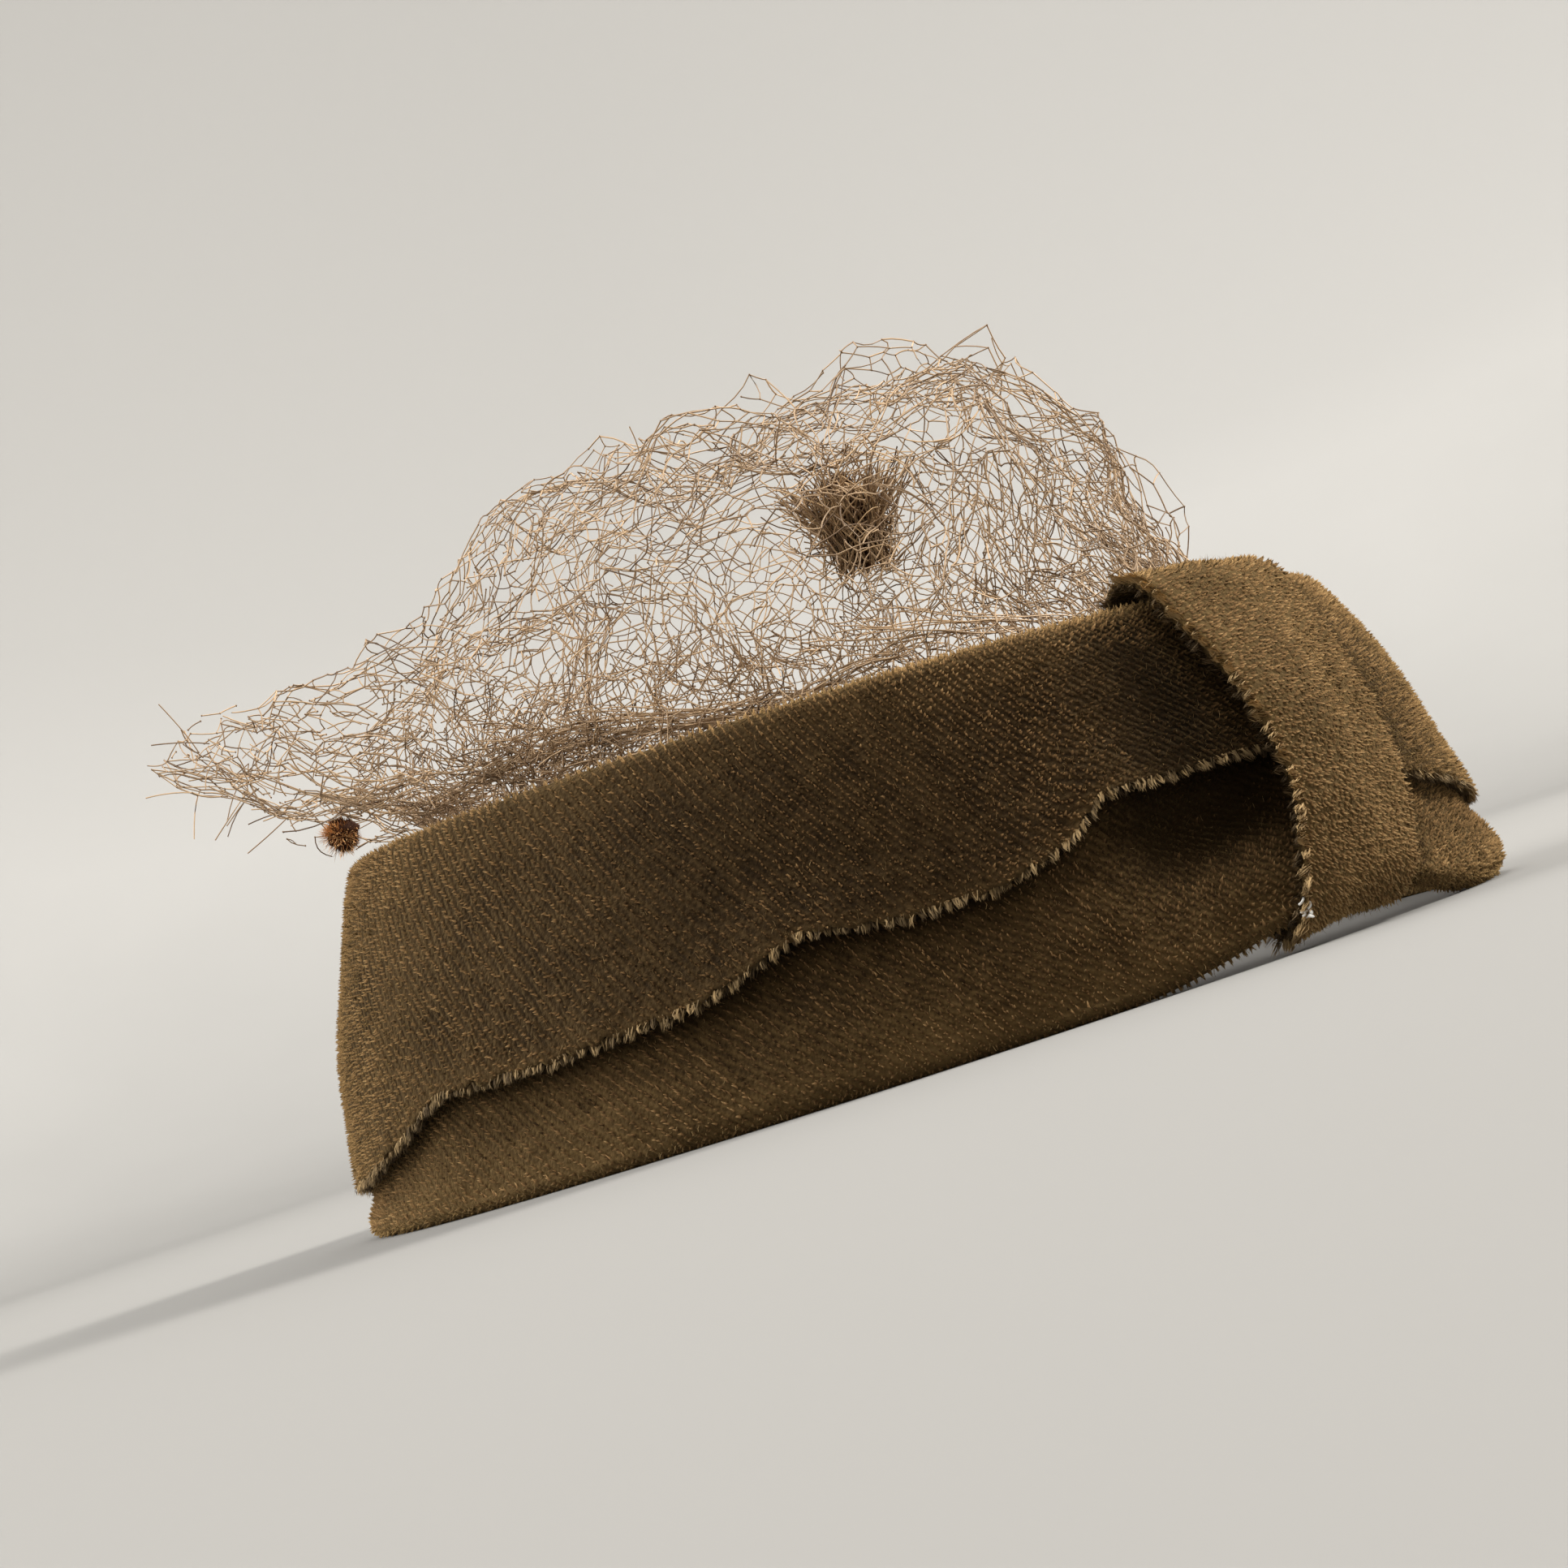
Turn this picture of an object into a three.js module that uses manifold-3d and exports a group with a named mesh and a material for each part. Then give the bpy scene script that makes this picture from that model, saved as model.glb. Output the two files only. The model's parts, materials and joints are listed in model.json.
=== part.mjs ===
// Velvet ring fascinator with a puffed net veil, about 185 mm wide, 220 mm long and 110 mm tall.
// Millimetres, +Z up, resting on its rim at z = 0. The wearer's front is -Y and the wearer's right is -X.
//
// The ring is an open oval wall without a crown. A stiff base band, covered in velvet, makes the whole
// wall and the rolled rim. A wider velvet band is folded over its top edge and hangs down outside to a
// raw, wavy edge. A velvet strap is looped round both at the front, and a net veil puffs up out of the
// top opening, with a tuft where it is gathered and a chenille dot on the corner that sticks out behind.
import * as THREE from "three";
import { mergeVertices } from "three/addons/utils/BufferGeometryUtils.js";
import Module from "manifold-3d";

const wasm = await Module();
wasm.setup();

// ---------------------------------------------------------------- driving dimensions

const RING = {
  halfWidth: 92, // outside, at the rim
  halfLength: 106,
  planPower: 2.05, // 2 is an ellipse, more is boxier
  sideTaper: 0.19, // share of the half width lost from the rim to the top
  endTaper: 0.135,
  taperPower: 2.1,
  frontHeight: 58,
  backHeight: 66,
};
const TURN_STEPS = 80; // sections round the ring

const CLOTH = 1.8; // doubled velvet of the folded band
const GAP = 0.4; // air between neighbouring pieces
const BASE_WALL = 3; // stiffened and covered on both sides
const COVERED_DEPTH = CLOTH + GAP; // how far the base band lies below the outer skin
const FOLD_DEPTH = COVERED_DEPTH + BASE_WALL + GAP + CLOTH; // outer face to inner face over the top edge
const HEM_DEPTH = 5.6; // width of the rolled rim
const RIM_FLAT = { near: 1.6, far: 3.8 }; // the strip that the hat rests on, by depth
const INNER_LEG_RISE = 0.66; // how far down inside the folded band reaches

// The strap lifts the rim where it passes under it.
const STRAP_TURN = 10;
const RIM_LIFT = { height: 5.5, turn: STRAP_TURN + 2, spread: 27 };

// Lower edge of the folded band: turn in degrees from the front towards the wearer's right, rise as a
// share of the wall's height, and lift as the distance in mm that the raw edge stands off the wall.
const RAW_EDGE = [
  { turn: -70, rise: 0.27, lift: 0.5 },
  { turn: -45, rise: 0.2, lift: 0.5 },
  { turn: -28, rise: 0.24, lift: 0.7 },
  { turn: -12, rise: 0.3, lift: 0.8 },
  { turn: 3, rise: 0.34, lift: 0.3 },
  { turn: 16, rise: 0.47, lift: 0.3 },
  { turn: 29, rise: 0.5, lift: 0.9 },
  { turn: 34, rise: 0.52, lift: 1.2 },
  { turn: 37.5, rise: 0.43, lift: 0.9 },
  { turn: 45, rise: 0.375, lift: 0.7 },
  { turn: 53, rise: 0.37, lift: 0.8 },
  { turn: 62, rise: 0.41, lift: 1.8 },
  { turn: 71, rise: 0.325, lift: 1.4 },
  { turn: 88, rise: 0.3, lift: 0.7 },
  { turn: 103, rise: 0.31, lift: 0.9 },
  { turn: 112, rise: 0.22, lift: 0.7 },
  { turn: 124, rise: 0.16, lift: 0.5 },
  { turn: 145, rise: 0.13, lift: 0.4 },
  { turn: 215, rise: 0.13, lift: 0.4 },
  { turn: 240, rise: 0.18, lift: 0.5 },
  { turn: 256, rise: 0.31, lift: 0.9 },
  { turn: 272, rise: 0.3, lift: 0.6 },
  { turn: 290, rise: 0.27, lift: 0.5 },
];
const LIFT_REACH = 0.2; // share of the wall's height over which the lifted edge curls back to the wall

// The base band is drawn in beside the strap, which leaves a dark hollow under the raw edge.
const HOLLOW = { depth: 5.5, turn: 23, spread: 15, rise: 0.38, reach: 0.26, inside: 0.65 };

// ---------------------------------------------------------------- the ring's outer skin

const radians = (degrees) => (degrees * Math.PI) / 180;
const mix = (a, b, share) => a + (b - a) * share;
const clamp01 = (value) => Math.min(1, Math.max(0, value));
const smooth = (value) => clamp01(value) ** 2 * (3 - 2 * clamp01(value));

// Falls from 1 at no distance to 0 at the given reach, with no kink at either end.
const bump = (distance, reach) =>
  Math.abs(distance) < reach ? Math.cos((distance / reach) * (Math.PI / 2)) ** 2 : 0;

// The shorter way round from one turn to another, in degrees.
const turnBetween = (a, b) => ((((a - b + 180) % 360) + 360) % 360) - 180;

const wallHeight = (turn) =>
  mix(RING.frontHeight, RING.backHeight, (1 - Math.cos(radians(turn))) / 2);

const rimHeight = (turn) => RIM_LIFT.height * bump(turnBetween(turn, RIM_LIFT.turn), RIM_LIFT.spread);

function planPoint(turn, halfWidth, halfLength) {
  const c = Math.cos(radians(turn));
  const s = Math.sin(radians(turn));
  const power = RING.planPower;
  const r = (Math.abs(c) ** power + Math.abs(s) ** power) ** (-1 / power);
  return new THREE.Vector2(-halfWidth * r * s, -halfLength * r * c);
}

// A point of the outer skin. Rise is 0 at the rim and 1 at the top edge, and may run past both.
function skin(turn, rise) {
  const taper = clamp01(rise) ** RING.taperPower;
  const plan = planPoint(
    turn,
    RING.halfWidth * (1 - RING.sideTaper * taper),
    RING.halfLength * (1 - RING.endTaper * taper),
  );
  const z = mix(rimHeight(turn), wallHeight(turn), rise);
  return new THREE.Vector3(plan.x, plan.y, z);
}

function skinNormal(turn, rise) {
  const step = 0.01;
  const level = Math.min(1 - step, Math.max(step, rise));
  const along = skin(turn + 0.5, level).sub(skin(turn - 0.5, level));
  const up = skin(turn, level + step).sub(skin(turn, level - step));
  return up.cross(along).normalize();
}

// A point of the wall, at a depth below the skin. A negative depth lies outside it.
const wall = (turn, rise, depth) =>
  skin(turn, rise).addScaledVector(skinNormal(turn, rise), -depth);

// Linear interpolation round the ring in a table whose rows are sorted by turn.
function around(table, column, turn) {
  const first = table[0].turn;
  const t = ((((turn - first) % 360) + 360) % 360) + first;
  const next = table.findIndex((row) => row.turn > t);
  const b = next < 0 ? { ...table[0], turn: first + 360 } : table[next];
  const a = next < 0 ? table[table.length - 1] : table[next - 1];
  return mix(a[column], b[column], (t - a.turn) / (b.turn - a.turn));
}

// ---------------------------------------------------------------- meshes from loops of points

// Joins rows of points, each a closed loop of the same length, into one closed ring.
function ringGeometry(rows) {
  const count = rows[0].length;
  const index = [];
  rows.forEach((_, i) => {
    const here = i * count;
    const next = ((i + 1) % rows.length) * count;
    for (let j = 0; j < count; j++) {
      const k = (j + 1) % count;
      index.push(here + j, next + k, next + j, here + j, here + k, next + k);
    }
  });
  const geometry = new THREE.BufferGeometry().setFromPoints(rows.flat());
  geometry.setIndex(index);
  geometry.computeVertexNormals();
  return geometry;
}

const turns = Array.from({ length: TURN_STEPS }, (_, i) => (i * 360) / TURN_STEPS);

// Evenly spaced numbers from a to b, both included.
const spread = (a, b, count) =>
  Array.from({ length: count }, (_, i) => mix(a, b, i / (count - 1)));

// ---------------------------------------------------------------- base band

// Depth of the base band's outer face: flush at the rim, under the folded band above its raw edge.
function baseDepth(turn, rise) {
  const raw = around(RAW_EDGE, "rise", turn);
  return COVERED_DEPTH * smooth((rise - 0.04) / (raw - 0.07));
}

const hollowAt = (turn, rise) =>
  HOLLOW.depth *
  bump(turnBetween(turn, HOLLOW.turn), HOLLOW.spread) *
  bump(rise - HOLLOW.rise, HOLLOW.reach);

// A point of the flat strip under the rolled rim.
const underside = (turn, depth) => wall(turn, 0, depth).setZ(rimHeight(turn));

function baseSection(turn) {
  const height = wallHeight(turn) - rimHeight(turn);
  const topRise = 1 - (COVERED_DEPTH + BASE_WALL / 2) / height;
  const outer = (rise) => baseDepth(turn, rise) + hollowAt(turn, rise);
  const inner = (rise) => {
    const hem = HEM_DEPTH * (1 - smooth((rise - 0.05) / 0.12));
    const plain = baseDepth(turn, rise) + BASE_WALL;
    return Math.max(hem, plain) + HOLLOW.inside * hollowAt(turn, rise);
  };
  const outside = [0.05, 0.13, 0.22, 0.31, 0.4, 0.5, 0.63];
  const inside = [0.63, 0.45, 0.3, 0.17];
  return [
    underside(turn, RIM_FLAT.near),
    wall(turn, 0.015, 0.4),
    ...outside.map((rise) => wall(turn, rise, outer(rise))),
    wall(turn, topRise - 0.02, COVERED_DEPTH),
    wall(turn, topRise, COVERED_DEPTH + BASE_WALL / 2),
    wall(turn, topRise - 0.02, COVERED_DEPTH + BASE_WALL),
    ...inside.map((rise) => wall(turn, rise, inner(rise))),
    wall(turn, 0.015, HEM_DEPTH - 0.5),
    underside(turn, RIM_FLAT.far),
  ];
}

// ---------------------------------------------------------------- folded upper band

function foldedSection(turn) {
  const height = wallHeight(turn) - rimHeight(turn);
  const raw = around(RAW_EDGE, "rise", turn);
  const lift = around(RAW_EDGE, "lift", turn);
  const outerRadius = FOLD_DEPTH / 2;
  const innerRadius = outerRadius - CLOTH;
  const archRise = 1 - outerRadius / height; // where the straight wall ends and the fold begins
  const standOff = (rise) => -lift * (1 - smooth((rise - raw) / LIFT_REACH));
  const fold = (radius) => (angle) =>
    wall(
      turn,
      archRise + (radius * Math.sin(radians(angle))) / height,
      outerRadius - radius * Math.cos(radians(angle)),
    );
  const settled = raw + LIFT_REACH; // where the lifted edge has come back to the wall
  const outside = [raw, raw + LIFT_REACH / 2, settled, mix(settled, archRise, 0.5), archRise];
  const inside = [archRise, mix(settled, archRise, 0.5), settled, raw];
  return [
    ...outside.map((rise) => wall(turn, rise, standOff(rise))),
    ...[45, 90, 135].map(fold(outerRadius)),
    wall(turn, archRise, FOLD_DEPTH),
    wall(turn, INNER_LEG_RISE, FOLD_DEPTH),
    wall(turn, INNER_LEG_RISE, FOLD_DEPTH - CLOTH),
    wall(turn, archRise, FOLD_DEPTH - CLOTH),
    ...[135, 90, 45].map(fold(innerRadius)),
    ...inside.map((rise) => wall(turn, rise, CLOTH + standOff(rise))),
  ];
}

// ---------------------------------------------------------------- front strap

// Stations round the strap's loop, down the outside, under the rim and up the inside. Out is the
// distance of its inner face from the skin, negative inside the wall, puff is how much further its
// right-hand edge stands off, and the two edges are turns from the front towards the wearer's right.
const STRAP_STATIONS = [
  { rise: 0.97, out: 0.7, puff: 2.2, left: -4, right: 20.5 },
  { rise: 0.84, out: 0.8, puff: 3.2, left: -3, right: 20 },
  { rise: 0.66, out: 1, puff: 4.2, left: -1.5, right: 19 },
  { rise: 0.48, out: 1.3, puff: 4.4, left: 0, right: 18.5 },
  { rise: 0.32, out: 1.2, puff: 4, left: 1.5, right: 18.5 },
  { rise: 0.18, out: 1, puff: 2.8, left: 3, right: 19.5 },
  { rise: 0.06, out: 0.8, puff: 1.4, left: 5, right: 20.5 },
  { rise: -0.002, out: -0.9, puff: 0.2, left: 6.5, right: 21 },
  { rise: -0.009, out: -3.2, puff: 0, left: 6.5, right: 21 },
  { rise: 0.005, out: -5.9, puff: 0, left: 6, right: 20.5 },
  { rise: 0.1, out: -7, puff: 0, left: 5, right: 20 },
  { rise: 0.25, out: -7.9, puff: -1.6, left: 4, right: 20 },
  { rise: 0.45, out: -8.6, puff: -2.6, left: 3, right: 20 },
  { rise: 0.65, out: -8.9, puff: -0.8, left: 1, right: 20 },
  { rise: 0.85, out: -8.8, puff: 0, left: -1, right: 20 },
  { rise: 0.98, out: -7.6, puff: 0.3, left: -3, right: 20.5 },
  { rise: 1.035, out: -3.7, puff: 1.2, left: -4.5, right: 21 },
];
const STRAP = { cloth: 2, loopSteps: 40, acrossSteps: 6 };

// One column of the table as a smooth closed function of the share of the way round the loop.
function stationColumn(column) {
  const points = STRAP_STATIONS.map((row) => new THREE.Vector3(row[column], 0, 0));
  const curve = new THREE.CatmullRomCurve3(points, true);
  return (share) => curve.getPoint(share).x;
}

function strapRows() {
  const [rise, out, puff, left, right] = ["rise", "out", "puff", "left", "right"].map(stationColumn);
  const across = spread(0, 1, STRAP.acrossSteps);
  return Array.from({ length: STRAP.loopSteps }, (_, i) => {
    const share = i / STRAP.loopSteps;
    const face = (offset) => (side) => {
      const turn = mix(left(share), right(share), side);
      const stand = out(share) + puff(share) * smooth(side);
      return { turn, rise: rise(share), stand, offset };
    };
    return { inner: across.map(face(0)), outer: across.map(face(STRAP.cloth)) };
  });
}

// The strap's own thickness lies along the normal of its loop, not of the wall, so that it keeps its
// thickness where it turns over the top edge and under the rim.
function strapGeometry() {
  const rows = strapRows();
  const inner = rows.map((row) => row.inner.map((p) => wall(p.turn, p.rise, -p.stand)));
  const loops = inner.map((points, i) => {
    const before = inner[(i + inner.length - 1) % inner.length];
    const after = inner[(i + 1) % inner.length];
    const outer = points.map((point, j) => {
      const along = after[j].clone().sub(before[j]);
      const across = points[Math.min(j + 1, points.length - 1)].clone().sub(points[Math.max(j - 1, 0)]);
      return point.clone().addScaledVector(across.cross(along).normalize(), STRAP.cloth);
    });
    return [...outer, ...points.toReversed()];
  });
  return ringGeometry(loops);
}

// ---------------------------------------------------------------- net veil

// Stations up the veil, from inside the ring's top edge to the crown. Front and back are shares of the
// way from the centre to the top edge, and height is mm above it. At the corner that sticks out behind,
// wing is the extra reach and lift the extra height in mm. Fold is the depth of the gathers.
const VEIL_STATIONS = [
  { front: 0.85, back: 0.87, height: -9, wing: 0, lift: 0, fold: 0 },
  { front: 0.8, back: 0.86, height: 1, wing: 0, lift: 0, fold: 0.3 },
  { front: 0.79, back: 0.9, height: 10, wing: 22, lift: 3, fold: 1 },
  { front: 0.77, back: 0.84, height: 21, wing: 44, lift: 8, fold: 1.6 },
  { front: 0.72, back: 0.74, height: 34, wing: 13, lift: -13, fold: 2.4 },
  { front: 0.61, back: 0.62, height: 46, wing: 2, lift: -5, fold: 3 },
  { front: 0.46, back: 0.49, height: 52, wing: 0, lift: 0, fold: 2.6 },
  { front: 0.29, back: 0.33, height: 53, wing: 0, lift: 0, fold: 1.6 },
  { front: 0.12, back: 0.15, height: 51, wing: 0, lift: 0, fold: 0.4 },
];
const VEIL = { thread: 1.3, cells: 17, opening: 0.8, wingTurn: 136, wingSpread: 46, crown: 62 };
const TUFT = { x: -21, y: -38, top: 98.5, radius: 6, stretch: 1.8, dip: 7, spread: 26 };

// The veil's lower edge lies against the inside of the folded band, and passes inside the strap.
const VEIL_FOOT = { rise: 0.96, gap: 0.9, strapDepth: 6.4, strapSpread: 42 };

// The dot sits halfway along one strip of the net, between two crossings given as [cell, level].
const DOT = { from: [6, 1], to: [6.5, 2], radius: 3, gap: 0.3 };

function veilFoot(turn) {
  const round = VEIL_FOOT.strapDepth * bump(turnBetween(turn, STRAP_TURN), VEIL_FOOT.strapSpread);
  return wall(turn, VEIL_FOOT.rise, FOLD_DEPTH + VEIL_FOOT.gap + round);
}

function veilPoint(turn, level) {
  const last = VEIL_STATIONS.length - 1;
  const low = Math.min(last - 1, Math.floor(level));
  const at = (column) => mix(VEIL_STATIONS[low][column], VEIL_STATIONS[low + 1][column], level - low);
  const edge = skin(turn, 1);
  const away = bump(turnBetween(turn, VEIL.wingTurn), VEIL.wingSpread);
  const reach = mix(at("front"), at("back"), (1 - Math.cos(radians(turn))) / 2);
  const scale = reach + (at("wing") * away) / Math.hypot(edge.x, edge.y);
  const base = mix(edge.z, VEIL.crown, level / last);
  const gathers = Math.cos(radians(7 * turn) + level) + 0.7 * Math.cos(radians(4 * turn) - 2 * level);
  const point = new THREE.Vector3(edge.x * scale, edge.y * scale, base + at("height"));
  point.z += at("lift") * away + at("fold") * gathers;
  point.z -= TUFT.dip * bump(Math.hypot(point.x - TUFT.x, point.y - TUFT.y), TUFT.spread);
  return point.lerp(veilFoot(turn), clamp01(1 - level));
}

function veilNormal(turn, level) {
  const step = 0.05;
  const last = VEIL_STATIONS.length - 1;
  const mid = Math.min(last - step, Math.max(step, level));
  const along = veilPoint(turn + 1, mid).sub(veilPoint(turn - 1, mid));
  const up = veilPoint(turn, mid + step).sub(veilPoint(turn, mid - step));
  return up.cross(along).normalize();
}

// A shell of crossing strips with one diamond opening in each cell, closed at the crown.
function veilGeometry() {
  const positions = [];
  const known = new Map();
  const index = [];
  const last = VEIL_STATIONS.length - 1;
  const cell = 360 / VEIL.cells;

  // The vertex at a place on the shell's outer face (side 0) or inner face (side 1).
  function vertex(column, level, side) {
    const turn = (((column * cell) % 360) + 360) % 360;
    const key = [turn.toFixed(4), level.toFixed(4), side].join();
    if (!known.has(key)) {
      const point = veilPoint(turn, level).addScaledVector(veilNormal(turn, level), -VEIL.thread * side);
      known.set(key, positions.push(point) - 1);
    }
    return known.get(key);
  }
  const quad = (a, b, c, d) => index.push(a, c, b, a, d, c);

  // A flat patch of both faces, from three corners given as [column, level].
  function patch(a, b, c) {
    const [outer, inner] = [0, 1].map((side) => [a, b, c].map((corner) => vertex(...corner, side)));
    index.push(...outer.toReversed(), ...inner);
  }

  for (let level = 1; level < last; level++) {
    for (let i = 0; i < VEIL.cells; i++) {
      const centre = [i + (level % 2 ? 0.5 : 0), level];
      const corners = [[0, -1], [0.5, 0], [0, 1], [-0.5, 0]].map(([c, l]) => [centre[0] + c, centre[1] + l]);
      const hole = corners.map(([c, l]) => [
        mix(centre[0], c, VEIL.opening),
        mix(centre[1], l, VEIL.opening),
      ]);
      corners.forEach((corner, k) => {
        const n = (k + 1) % corners.length;
        patch(corner, corners[n], hole[n]);
        patch(corner, hole[n], hole[k]);
        quad(vertex(...hole[n], 0), vertex(...hole[n], 1), vertex(...hole[k], 1), vertex(...hole[k], 0));
      });
    }
  }
  // The hem below the first row of openings, and the cap above the last one.
  const peak = veilPoint(0, last);
  peak.set(0, 0, peak.z);
  const top = positions.push(peak) - 1;
  const underTop = positions.push(peak.clone().setZ(peak.z - VEIL.thread)) - 1;
  for (let i = 0; i < VEIL.cells; i++) {
    const [a, b] = [[i + 0.5, 0], [i + 1.5, 0]];
    patch(a, b, [i + 1, 1]);
    quad(vertex(...b, 0), vertex(...a, 0), vertex(...a, 1), vertex(...b, 1));
    const shift = last % 2 ? 0 : 0.5;
    const [c, d] = [[i + shift, last], [i + 1 + shift, last]];
    patch(d, c, [i + 0.5 + shift, last - 1]);
    index.push(vertex(...d, 0), vertex(...c, 0), top);
    index.push(vertex(...c, 1), vertex(...d, 1), underTop);
  }
  const geometry = new THREE.BufferGeometry().setFromPoints(positions);
  geometry.setIndex(index);
  geometry.computeVertexNormals();
  return geometry;
}

// ---------------------------------------------------------------- tuft and dot

function toManifold(geometry) {
  const bare = geometry.index ? geometry.toNonIndexed() : geometry.clone();
  bare.deleteAttribute("normal");
  bare.deleteAttribute("uv");
  const merged = mergeVertices(bare, 1e-4);
  return new wasm.Manifold(
    new wasm.Mesh({
      numProp: 3,
      vertProperties: merged.attributes.position.array,
      triVerts: new Uint32Array(merged.index.array),
    }),
  );
}

function fromManifold(solid) {
  const mesh = solid.getMesh();
  const geometry = new THREE.BufferGeometry();
  geometry.setAttribute("position", new THREE.BufferAttribute(mesh.vertProperties, 3));
  geometry.setIndex(new THREE.BufferAttribute(mesh.triVerts, 1));
  geometry.computeVertexNormals();
  return geometry;
}

// A round core with pointed locks fused to it, evenly spread over the directions above the given slope.
function fuzzyBall({ radius, stretch, locks, lockLength, lowest }) {
  const core = new THREE.SphereGeometry(radius, 12, 8).scale(1, 1, stretch);
  let solid = toManifold(core);
  const golden = Math.PI * (3 - Math.sqrt(5));
  for (let i = 0; i < locks; i++) {
    const z = mix(lowest, 0.98, (i + 0.5) / locks);
    const flat = Math.sqrt(1 - z * z);
    const direction = new THREE.Vector3(flat * Math.cos(i * golden), flat * Math.sin(i * golden), z);
    const lock = new THREE.ConeGeometry(radius * 0.34, lockLength, 5).translate(0, lockLength / 2, 0);
    lock.applyQuaternion(
      new THREE.Quaternion().setFromUnitVectors(new THREE.Vector3(0, 1, 0), direction),
    );
    const root = direction.clone().multiply(new THREE.Vector3(1, 1, stretch)).multiplyScalar(radius * 0.8);
    lock.translate(root.x, root.y, root.z);
    solid = solid.add(toManifold(lock));
  }
  return fromManifold(solid);
}

// ---------------------------------------------------------------- assembly

const velvet = new THREE.MeshStandardMaterial({ color: 0x5c4526, roughness: 0.95, metalness: 0 });
const velvetLight = new THREE.MeshStandardMaterial({ color: 0x6a5230, roughness: 0.95, metalness: 0 });
const velvetDeep = new THREE.MeshStandardMaterial({ color: 0x4a3720, roughness: 0.95, metalness: 0 });
const net = new THREE.MeshStandardMaterial({ color: 0x9c7a58, roughness: 0.6, metalness: 0 });
const chenille = new THREE.MeshStandardMaterial({ color: 0x4a2614, roughness: 1, metalness: 0 });

function tuftGeometry() {
  const tuft = fuzzyBall({
    radius: TUFT.radius,
    stretch: TUFT.stretch,
    locks: 26,
    lockLength: 5,
    lowest: -0.98,
  });
  return tuft.translate(TUFT.x, TUFT.y, TUFT.top - TUFT.radius * TUFT.stretch);
}

function dotGeometry() {
  const cell = 360 / VEIL.cells;
  const seat = veilPoint(DOT.from[0] * cell, DOT.from[1]);
  seat.lerp(veilPoint(DOT.to[0] * cell, DOT.to[1]), 0.5);
  const out = veilNormal(((DOT.from[0] + DOT.to[0]) / 2) * cell, (DOT.from[1] + DOT.to[1]) / 2);
  const dot = fuzzyBall({ radius: DOT.radius, stretch: 1, locks: 16, lockLength: 2, lowest: -0.3 });
  dot.applyQuaternion(new THREE.Quaternion().setFromUnitVectors(new THREE.Vector3(0, 0, 1), out));
  seat.addScaledVector(out, DOT.radius + DOT.gap);
  return dot.translate(seat.x, seat.y, seat.z);
}

function piece(name, geometry, material) {
  const mesh = new THREE.Mesh(geometry, material);
  mesh.name = name;
  return mesh;
}

const hat = new THREE.Group();
hat.add(piece("base_band", ringGeometry(turns.map(baseSection)), velvetDeep));
hat.add(piece("upper_band", ringGeometry(turns.map(foldedSection)), velvet));
hat.add(piece("front_strap", strapGeometry(), velvetLight));
hat.add(piece("net_veil", veilGeometry(), net));
hat.add(piece("veil_tuft", tuftGeometry(), chenille));
hat.add(piece("veil_dot", dotGeometry(), chenille));

// The origin is the middle of the bounding box, on the surface that the rim rests on.
const middle = new THREE.Box3().setFromObject(hat).getCenter(new THREE.Vector3());
hat.children.forEach((mesh) => mesh.geometry.translate(-middle.x, -middle.y, 0));

export default hat;
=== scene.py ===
"""The looks of a velvet ring fascinator with a puffed net veil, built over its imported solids.

Lengths in the tables and helpers are millimetres in the hat's own frame, where the wearer's front is
-Y and the wearer's right is -X, and become metres when a mesh is made. A turn is in degrees round the
ring, 0 at the front and 90 at the wearer's right. A rise is 0 at the rim and 1 at the top edge.
"""

import json
import math

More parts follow.
